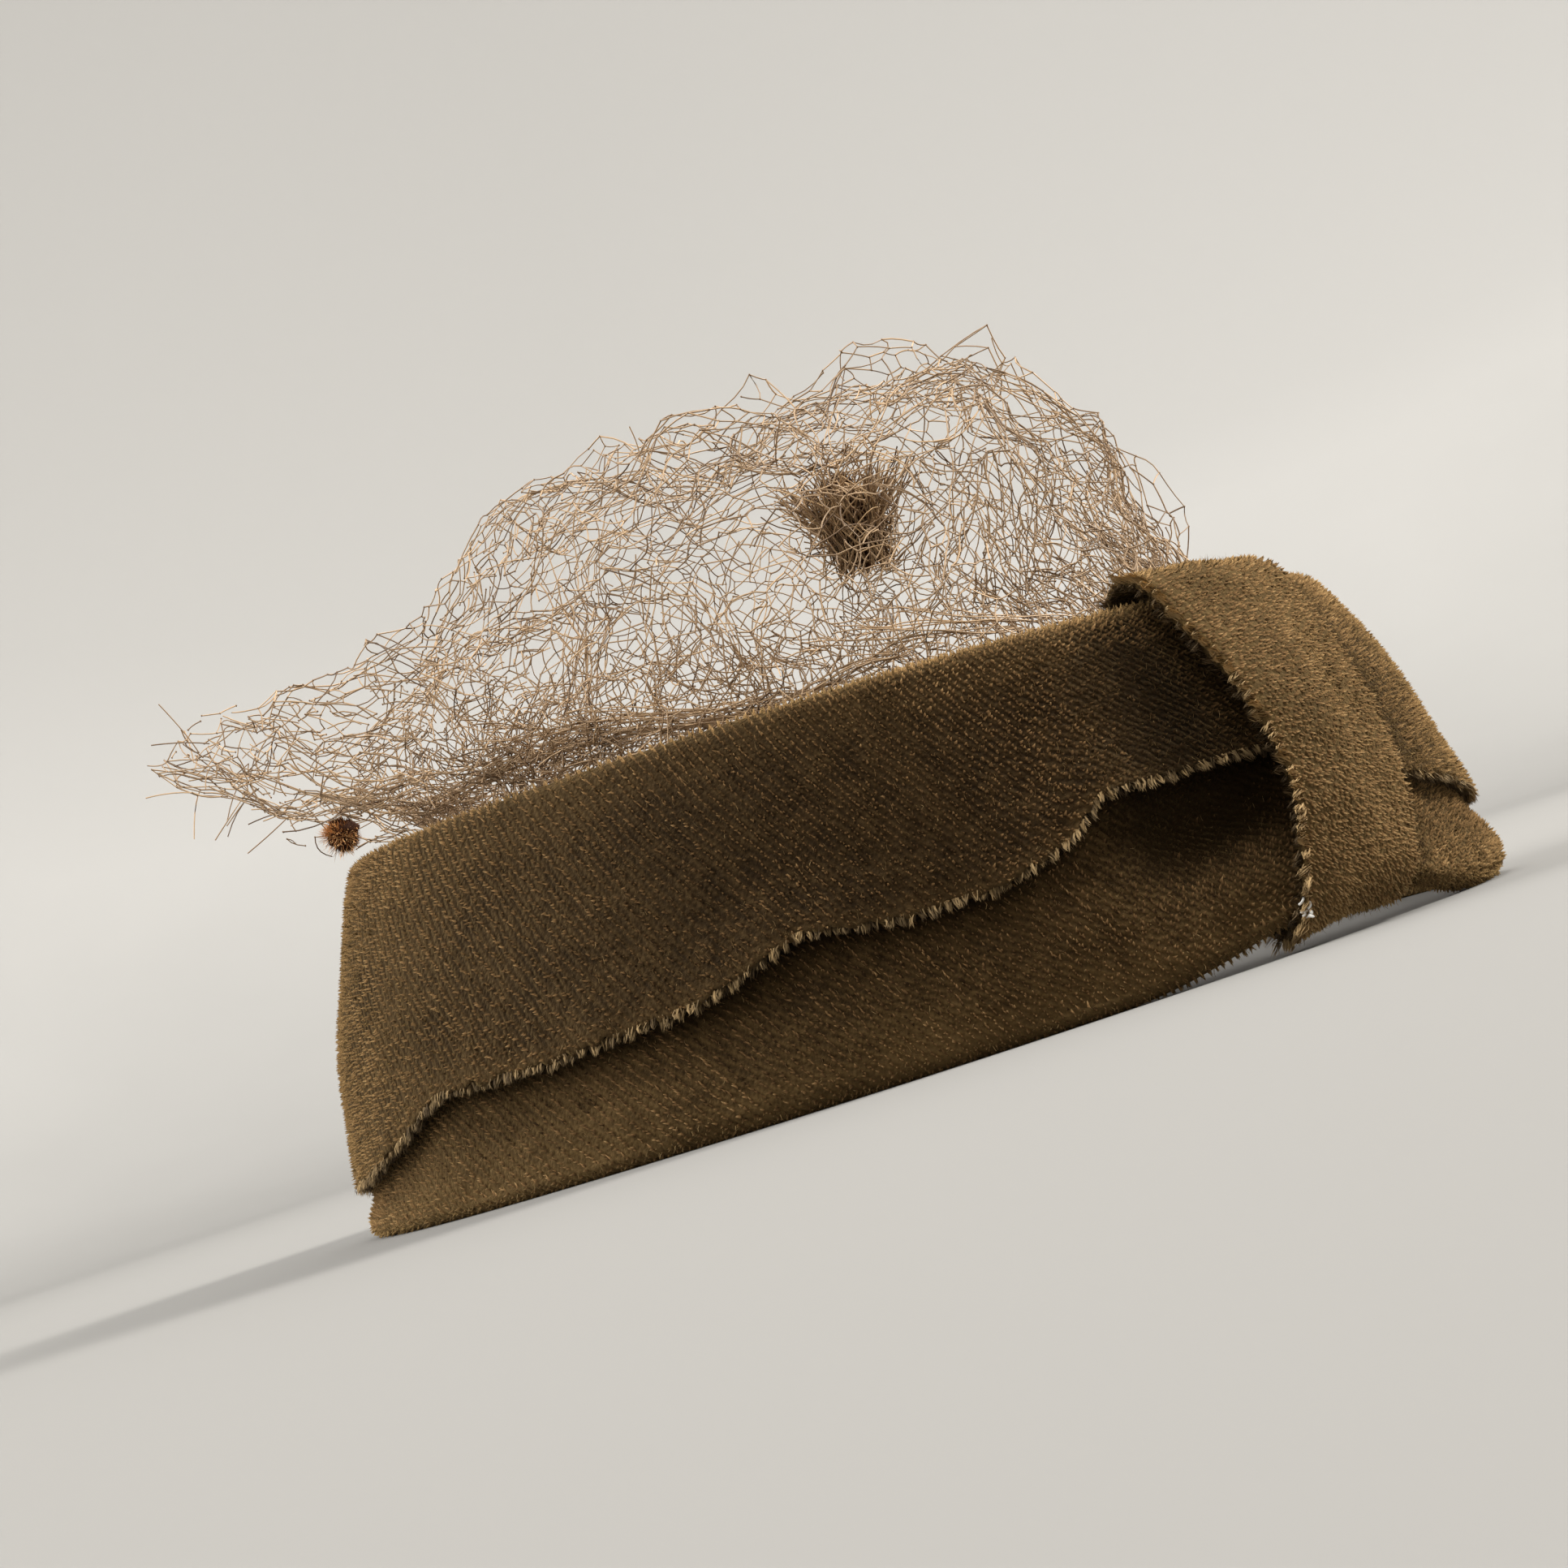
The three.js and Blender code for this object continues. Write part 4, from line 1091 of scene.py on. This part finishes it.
VEIL_FOOT = {"rise": 0.96, "gap": 0.9, "strap_depth": 6.4, "strap_spread": 42.0}
NET_RADIUS = 0.13  # of a thread in its ropes, curls and loose ends
NET_REACH = 150  # of the flat net from the crown
NET_MIDDLE = [0.0, 0.0, 60.0]  # ropes and curls are pushed in towards it
CELL = 360 / 17  # degrees between the strips of the solid net
DOT = {"from": (6 * CELL, 1.0), "to": (6.5 * CELL, 2.0), "radius": 3.0, "gap": 0.3}


def veil(turn, level):
    turn, level = np.broadcast_arrays(np.asarray(turn, float), np.asarray(level, float))
    columns = (np.interp(level, np.arange(len(VEIL_STATIONS)), column) for column in VEIL_STATIONS.T)
    front, back, height, wing, lift, fold = columns
    edge = skin(turn, 1.0)
    away = near_turn(turn, VEIL["wing_turn"], VEIL["wing_spread"])
    reach = front + (back - front) * (1 - np.cos(np.radians(turn))) / 2
    scale = reach + wing * away / np.hypot(edge[..., 0], edge[..., 1])
    share = np.clip(level / VEIL_LAST, 0, 1)
    base = edge[..., 2] * (1 - share) + VEIL["crown"] * share
    gathers = np.cos(np.radians(7 * turn) + level) + 0.7 * np.cos(np.radians(4 * turn) - 2 * level)
    x, y = edge[..., 0] * scale, edge[..., 1] * scale
    z = base + height + lift * away + fold * gathers
    z = z - TUFT["dip"] * bump(np.hypot(x - TUFT["x"], y - TUFT["y"]), TUFT["spread"])
    round_strap = VEIL_FOOT["strap_depth"] * near_turn(turn, STRAP_TURN, VEIL_FOOT["strap_spread"])
    foot = wall(turn, VEIL_FOOT["rise"], FOLD_DEPTH + VEIL_FOOT["gap"] + round_strap)
    near = np.clip(1 - level, 0, 1)[..., None]
    return np.stack([x, y, z], -1) * (1 - near) + foot * near


def dot_place():
    """The middle of the dot, and the way out from the net there."""
    (turn_a, level_a), (turn_b, level_b) = DOT["from"], DOT["to"]
    turn, level = (turn_a + turn_b) / 2, (level_a + level_b) / 2
    ends = veil([turn_a, turn_b], [level_a, level_b])
    up = veil(turn, level + 0.05) - veil(turn, level - 0.05)
    out = unit(np.cross(up, veil(turn + 1, level) - veil(turn - 1, level)))
    return ends.mean(0) + out * (DOT["radius"] + DOT["gap"]), out


DOT_CENTRE, DOT_OUT = dot_place()

# the length of net from the crown down to each level of the veil, at each turn
NET_TURNS = np.arange(0, 361, 2.0)
NET_LEVELS = np.linspace(0, len(VEIL_STATIONS) - 1, 90)
NET_LENGTH = running(gaps(veil(NET_TURNS[:, None], NET_LEVELS), 1)[:, ::-1])[:, ::-1]


def wrap_net(flat):
    """Flat net coordinates (x, y in mm from the crown) to places on the veil, and whether they lie on it.
    Distances from the crown are kept, so the net gathers sideways lower down."""
    turn = np.degrees(np.arctan2(-flat[:, 0], -flat[:, 1])) % 360
    distance = np.hypot(flat[:, 0], flat[:, 1])
    k = turn / (NET_TURNS[1] - NET_TURNS[0])
    i = np.clip(np.floor(k).astype(int), 0, len(NET_TURNS) - 2)
    f = (k - i)[:, None]
    profile = NET_LENGTH[i] * (1 - f) + NET_LENGTH[i + 1] * f
    # profile falls with level, so count how many are still further out than the wanted distance
    place = (profile > distance[:, None]).sum(1).clip(1, len(NET_LEVELS) - 1)
    high, low = (profile[np.arange(len(flat)), place - k] for k in (1, 0))
    share = np.clip((high - distance) / np.maximum(high - low, 1e-6), 0, 1)
    level = NET_LEVELS[place - 1] + NET_LEVELS[1] * share
    return veil(turn, level), distance < profile[:, 0], level, turn


def hex_net(side, reach, rng, jitter):
    """Nodes and edges of a honeycomb net of that side length, out to reach."""
    w, h = side * math.sqrt(3), side * 1.5
    ni, nj = int(reach / w) + 2, int(reach / h) + 2
    spokes = [(side * math.sin(a), side * math.cos(a)) for a in (math.radians(60 * k) for k in range(6))]
    number, nodes, edges = {}, [], set()
    for j in range(-nj, nj + 1):
        for i in range(-ni, ni + 1):
            cx, cy = i * w + (w / 2 if j % 2 else 0), j * h
            if math.hypot(cx, cy) > reach + side:
                continue
            ring = []
            for x, y in ((cx + dx, cy + dy) for dx, dy in spokes):
                key = (round(x / side * 20), round(y / side * 20))
                if key not in number:
                    number[key] = len(nodes)
                    nodes.append((x, y))
                ring.append(number[key])
            edges.update((min(pair), max(pair)) for pair in zip(ring, ring[1:] + ring[:1]))
    nodes = np.array(nodes)
    return nodes + rng.normal(0, jitter * side, nodes.shape), np.array(sorted(edges))


def veil_place(nodes, seed, crumple, inward):
    """Places of flat net nodes on the veil, crumpled, and which of them lie on it."""
    push = waves(seed + 1, 34, np.column_stack([nodes, np.zeros(len(nodes))]), dims=3)[:, :2]
    p, inside, level, turn = wrap_net(nodes + push * 5.0)
    free = smooth((level - 0.4) / 1.8)[:, None]
    big, small = waves(seed + 2, 30, p, dims=3), waves(seed + 3, 13, p, dims=3)
    p = p + free * (crumple * (2.6 * big + 1.1 * small) - unit(p - [0.0, 0.0, 62.0]) * inward)
    # strands near the tuft are drawn in to it
    tuft = np.array([TUFT["x"], TUFT["y"], TUFT["top"] - 7])
    pull = bump(np.linalg.norm((p - tuft) * [1, 1, 0.55], axis=-1), 26)[:, None]
    return p + (tuft - p) * [1, 1, 0.45] * pull * 0.7, inside, level, turn


def net_layer(seed, side, angle, offset, inward, crumple, thin, drop, stretch, top, wing):
    """Strands of one layer of the net, up to the level top, as tubes, its knots, and places on it.
    Side, crumple, inward and thin are the net's cell, crumpling, depth and strand radius. Drop is the
    share of its strands that are lost, and wing the share left in the wing at the back."""
    rng = np.random.default_rng(seed)
    nodes, edges = hex_net(side, NET_REACH, rng, jitter=0.17)
    c, s = math.cos(math.radians(angle)), math.sin(math.radians(angle))
    nodes = nodes * stretch @ np.array([[c, s], [-s, c]]) + offset
    p, inside, level, turn = veil_place(nodes, seed, crumple, inward)
    from_wing = np.abs(turn_between(turn, VEIL["wing_turn"]))
    in_wing = smooth((np.hypot(p[:, 0], p[:, 1]) - 84) / 8) * smooth(1.6 - from_wing / 25)
    if wing == 0.0:
        in_wing = np.maximum(in_wing, smooth(2.2 - from_wing / 17))
    over_wing = smooth((level - 3.3) / 0.8) * smooth((6.4 - level) / 1.2) * smooth(1.7 - from_wing / 25)
    by_dot = bump(np.linalg.norm(p - DOT_CENTRE, axis=-1), 13)
    stay = 1 - drop
    for share in ((1 - wing) * in_wing, 0.75 * by_dot, (0.2 if wing > 0.5 else 0.7) * over_wing,
                  0.4 * in_wing * smooth((2.6 - level) / 0.8)):
        stay = stay * (1 - share[edges].mean(1))
    part = inside & (level <= top)
    edges = edges[part[edges].all(1) & (rng.random(len(edges)) > 1 - stay)]
    length = np.linalg.norm(p[edges[:, 1]] - p[edges[:, 0]], axis=-1)
    edges = edges[(length > 0.2 + 0.42 * side * in_wing[edges].mean(1)) & (length < side * 3.4)]
    a, b = p[edges[:, 0]], p[edges[:, 1]]
    sag = rng.normal(0, 0.055, a.shape) * np.linalg.norm(b - a, axis=-1)[:, None]
    lines = np.stack([a, a * 0.66 + b * 0.34 + sag, a * 0.34 + b * 0.66 + sag, b], 1)
    # tone follows the strand's place a little, so that whole runs of net are lighter or darker
    tone = 0.5 + 0.22 * waves(seed + 4, 22, (a + b) / 2) + rng.normal(0, 0.2, len(lines))
    radius = thin * rng.uniform(0.85, 1.2, len(lines))
    return [tubes(lines, radius, np.clip(tone, 0, 1)), knots(p[np.unique(edges)])], p[part]


def knots(places, size=0.24, tone=0.25):
    """Small eight-sided lumps where strands are knotted."""
    corners = np.array([(1, 0, 0), (-1, 0, 0), (0, 1, 0), (0, -1, 0), (0, 0, 1), (0, 0, -1)], float)
    sides = np.array([(0, 2, 4), (2, 1, 4), (1, 3, 4), (3, 0, 4), (2, 0, 5), (1, 2, 5), (3, 1, 5), (0, 3, 5)])
    faces = sides + 6 * np.arange(len(places))[:, None, None]
    points = places[:, None] + corners * size
    return points.reshape(-1, 3), faces.reshape(-1, 3), np.full(6 * len(places), tone)


def loose_ends(rng, anchors):
    """Cut thread ends that curl away from the net, most of them at the wing and on top."""
    round_hat = np.degrees(np.arctan2(-anchors[:, 0], -anchors[:, 1]))
    wing = anchors[(np.abs(turn_between(round_hat, VEIL["wing_turn"])) < 24)
                   & (np.hypot(anchors[:, 0], anchors[:, 1]) > 90)]
    high = anchors[anchors[:, 2] > 103]
    t = np.linspace(0, 1, 6)[None, :, None]
    for group, count, length in ((wing, 40, 10.0), (high, 26, 6.0), (anchors, 50, 6.0)):
        start = group[rng.integers(0, len(group), count)]
        direction = unit(unit(start - [0.0, 0.0, 70.0]) + rng.normal(0, 0.7, start.shape))
        curl = rng.normal(0, 0.3, start.shape)
        long = rng.uniform(0.4, 1.0, (count, 1, 1)) * length
        lines = start[:, None] + direction[:, None] * t * long + curl[:, None] * t**2 * long
        yield tubes(lines, NET_RADIUS, rng.uniform(0, 1, count))


# turn at which each gathered rope of net starts, how far round it runs, its level there and at its end
NET_ROPES = [
    (62, 34, 1.0, 1.9), (74, 30, 0.7, 0.9), (88, 40, 1.6, 1.1), (96, 26, 0.6, 1.3), (110, 24, 1.9, 1.4),
    (40, 30, 1.2, 0.8), (52, 36, 0.7, 1.5), (20, 28, 0.9, 1.7),
    (205, 40, 0.8, 1.6), (250, 44, 1.3, 0.8), (300, 40, 0.8, 1.4),
]


def net_ropes(rng):
    """Runs of net drawn together like rope low on the veil, as lines (strands, 20 points, 3)."""
    t = np.linspace(0, 1, 20)
    lines = []
    for turn, run, level, end in NET_ROPES:
        for _ in range(11 if turn < 120 else 8):
            wave = rng.normal(0, 0.05) + 0.1 * np.sin(2 * np.pi * (t * rng.uniform(0.8, 2.2) + rng.random()))
            turns = turn + rng.normal(0, 3) + (run + rng.normal(0, 4)) * t
            levels = level + (end - level) * t + wave * (0.3 + np.abs(2 * t - 1))
            line = veil(turns, np.clip(levels, 0.3, 8))
            lines.append(line - unit(line - NET_MIDDLE) * rng.uniform(0.5, 3.0))
    return np.array(lines)


def short_curls(rng, count):
    """Short curls of net over the folded band, caught up in the ropes there."""
    turn, level = 95 + 18 * rng.normal(size=count), rng.gamma(2.6, 0.48, count) + 0.3
    start = veil(np.clip(turn, 40, 128), np.clip(level, 0.35, 3.4))
    start = start - unit(start - NET_MIDDLE) * rng.uniform(-0.5, 4.0, (count, 1))
    run = unit(rng.normal(size=(count, 3)) * [1, 1, 0.6]) * rng.uniform(3, 9, (count, 1))
    return curls(start, run, unit(rng.normal(size=(count, 3))) * rng.uniform(2, 7, (count, 1)))


def curls(middle, run, bow):
    """Lines of five points through the middles, each as long as its run and bowed."""
    t = np.linspace(-0.5, 0.5, 5)[:, None]
    return middle[:, None] + run[:, None] * t + bow[:, None] * (0.25 - t**2)


def ropes_and_curls():
    rng = np.random.default_rng(171)
    ropes = net_ropes(np.random.default_rng(170))
    yield tubes(ropes, NET_RADIUS, rng.uniform(0.55, 1, len(ropes)))
    lines = short_curls(rng, 800)
    yield tubes(lines, NET_RADIUS, np.clip(rng.normal(0.72, 0.2, len(lines)), 0, 1))


OUTER_NET = [
    dict(seed=50, side=3.6, angle=8, offset=(0, 0), inward=0.0, crumple=1.25, thin=0.13, drop=0.03,
         stretch=(1.0, 1.0), top=9, wing=0.9),
    dict(seed=60, side=3.4, angle=37, offset=(9, -5), inward=3.0, crumple=1.55, thin=0.125, drop=0.05,
         stretch=(1.0, 1.08), top=9, wing=0.12),
]
INNER_NET = [
    dict(seed=70, side=3.0, angle=71, offset=(-7, 6), inward=6.0, crumple=1.5, thin=0.13, drop=0.06,
         stretch=(0.9, 1.0), top=3.6, wing=0.0),
    dict(seed=80, side=2.8, angle=20, offset=(4, 12), inward=4.0, crumple=1.5, thin=0.13, drop=0.08,
         stretch=(0.95, 0.9), top=2.4, wing=0.0),
]


def make_veil():
    mat = thread("net_thread")
    made, places = zip(*(net_layer(**layer) for layer in OUTER_NET))
    ends = loose_ends(np.random.default_rng(151), np.concatenate(places))
    strands("net_veil_outer", [*sum(made, []), *ends], mat, "net", "net_veil")
    made, _ = zip(*(net_layer(**layer) for layer in INNER_NET))
    strands("net_veil_inner", [*sum(made, []), *ropes_and_curls()], mat, "net")


# ---- tuft and dot


def furry_ball(node, slot, mat, rng, centre, seed, radii, rough, hairs, depth, lift, spread, long, width,
               bend):
    """A lumpy closed ball for a node, and short hairs that stand out of it, rooted at a depth below."""
    radii = np.array(radii)
    u, v = np.linspace(0, 2 * np.pi, 28, endpoint=False)[:, None], np.linspace(0, np.pi, 18)
    p = radii * np.stack([np.sin(v) * np.cos(u), np.sin(v) * np.sin(u), np.cos(v) + 0 * u], -1)
    p = centre + p + waves(seed, max(radii) * 0.9, p, dims=3) * rough
    piece(f"{node}_core", p.reshape(-1, 3), grid_faces(28, 18, open_columns=1), mat, slot, node,
          tone=np.full(28 * 18, 0.25))
    d = unit(rng.normal(0, 1, (hairs, 3)))
    roots = centre + d * (radii - depth)
    tips = roots + unit(d + rng.normal(0, spread, (hairs, 3)) + [0, 0, lift]) * rng.uniform(*long, (hairs, 1))
    blades(f"{node}_pile", roots, tips, rng.uniform(*width, hairs), rng.normal(0, bend, (hairs, 3)),
           rng.uniform(0, 1, hairs) ** 1.6, mat, slot)


def make_tuft():
    """Gathered net bound into a sheaf of strands round a dark core of pile."""
    rng = np.random.default_rng(9)
    centre = np.array([TUFT["x"], TUFT["y"], TUFT["top"] - TUFT["radius"] * TUFT["stretch"]])
    furry_ball("veil_tuft", "tuft", thread("tuft_pile"), rng, centre, seed=91, radii=(3.2, 3.2, 7.4),
               rough=0.7, hairs=2600, depth=(0.3, 0.3, 0.4), lift=0.4, spread=0.4, long=(0.8, 2.2),
               width=(0.12, 0.24), bend=0.25)

    def ways(count):
        return unit(rng.normal(0, 1, (count, 3)))

    # strands of net gathered through it like a sheaf, narrow in the middle and open at both ends
    m, t = (210, 1), np.linspace(0, 1, 9)
    low, high = rng.uniform(-9.5, -4.0, m), rng.uniform(3.0, 9.0, m)
    angle = rng.uniform(0, 2 * np.pi, m) + rng.normal(0, 0.9, m) * t
    radius = rng.uniform(2.8, 5.2, m) + rng.uniform(2.0, 15.0, m) * np.maximum(t - 0.3, 0) ** 1.5
    radius = radius + 0.5 * np.sin(t * rng.uniform(4, 16, m) + rng.uniform(0, 6, m))
    lines = centre + np.stack([radius * np.cos(angle), radius * np.sin(angle), low + (high - low) * t], -1)
    lines = lines + rng.normal(0, 0.2, lines.shape)
    made = [tubes(lines, 0.14, np.clip(rng.normal(0.4, 0.25, len(lines)), 0, 1))]
    # tangled net round it, thinner away from it
    m = 280
    middle = centre + ways(m) * (3.6 + rng.exponential(2.8, (m, 1))) * [1, 1, 1.3]
    lines = curls(middle, ways(m) * rng.uniform(4, 9, (m, 1)), ways(m) * 6)
    made.append(tubes(lines, NET_RADIUS, np.clip(rng.normal(0.45, 0.25, m), 0, 1)))
    # a few paler ones curl across it
    m, t = 34, t[:, None]
    a = unit(rng.normal(0, 1, (m, 3)) * [1, 1, 0.6])[:, None]
    b = unit(a[:, 0] + rng.normal(0, 0.7, (m, 3)))[:, None]
    lines = centre + unit(a * (1 - t) + b * t) * [5.2, 5.2, 8.4] * rng.uniform(0.95, 1.15, (m, 1, 1))
    made.append(tubes(lines, 0.17, rng.uniform(0.7, 1, m)))
    strands("veil_tuft_threads", made, thread("tuft_thread"), "net")


def make_dot():
    rng = np.random.default_rng(10)
    centre, out = DOT_CENTRE, DOT_OUT
    furry_ball("veil_dot", "chenille", thread("dot_chenille"), rng, centre, seed=95, radii=(2.7, 2.7, 2.7),
               rough=0.5, hairs=1500, depth=(0.6, 0.6, 0.6), lift=0.0, spread=0.35, long=(0.7, 1.7),
               width=(0.1, 0.2), bend=0.12)
    # the fringe stands round it in a ring that faces out from the net, longest away from the hat
    d = unit(rng.normal(0, 1, (1500, 3)))
    d = unit(d - out * (d @ out)[:, None] * 0.6)
    away = unit(centre * [1, 1, 0] + [0, 0, -55.0])
    share = np.clip(d @ away, -1, 1) * 0.5 + 0.5
    keep = rng.random(len(d)) < 0.15 + share
    d, share, m = d[keep], share[keep], keep.sum()
    roots = centre + d * 2.4
    long = rng.uniform(0.5, 1.3, m) + 2.2 * share**2 * rng.uniform(0.5, 1, m)
    tips = roots + unit(d + rng.normal(0, 0.28, (m, 3))) * long[:, None]
    blades("veil_dot_fringe", roots, tips, rng.uniform(0.12, 0.24, m), rng.normal(0, 0.2, (m, 3)),
           rng.uniform(0, 1, m), thread("dot_fringe"), "chenille")


# ---- stitches


def make_stitches():
    """White tacking thread where the strap's edge is caught to the rim."""
    rng = np.random.default_rng(12)
    at = int(np.argmin(np.abs(STRAP_LOOP - 6.1 / len(STRAP_STATIONS))))
    inner, outer = (face[at] for face in front_strap())
    corner = outer[-1] * 0.6 + inner[-1] * 0.4
    away, up = unit(outer[-1] - outer[-4]), unit(outer[-1] - inner[-1])
    t = np.linspace(0, 1, 8)[:, None]
    lines = []
    for _ in range(7):
        a = corner + away * rng.uniform(-0.5, 0.7) + up * rng.uniform(-0.2, 1.0)
        a[2] += rng.uniform(-1.4, 1.4)
        b = a + unit(rng.normal(0, 1, 3) + away * 0.8 + [0, 0, -0.5]) * rng.uniform(0.7, 1.3)
        middle = (a + b) / 2 + up * rng.uniform(0.2, 0.7)
        lines.append(a * (1 - t) ** 2 + 2 * middle * t * (1 - t) + b * t**2)
    tacks = tubes(np.array(lines), 0.2, rng.uniform(0.4, 1, len(lines)), sides=6)
    strands("white_tacks", [tacks], thread("white_thread"), "velvet_strap")


# ---- the scene

make_camera()
make_stage()
make_lights()
sheets = [make_upper_band(), make_base_band(), make_front_strap()]
raw_edges = make_raw_edges()
loose_fibres = make_fuzz()
for (sheet, facts), pile in zip(sheets, make_piles()):
    # the raw edges and the loose fibres go with the folded band
    others = [*raw_edges, loose_fibres] if sheet.name == "upper_band_velvet" else []
    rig.sheet(sheet, with_pieces=[pile, *others], **facts)
make_veil()
make_tuft()
make_dot()
make_stitches()

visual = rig.bounds()
with open("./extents.json", "w") as f:
    json.dump({"cad": [list(c) for c in CAD_BOX], "visual": [list(c) for c in visual]}, f)
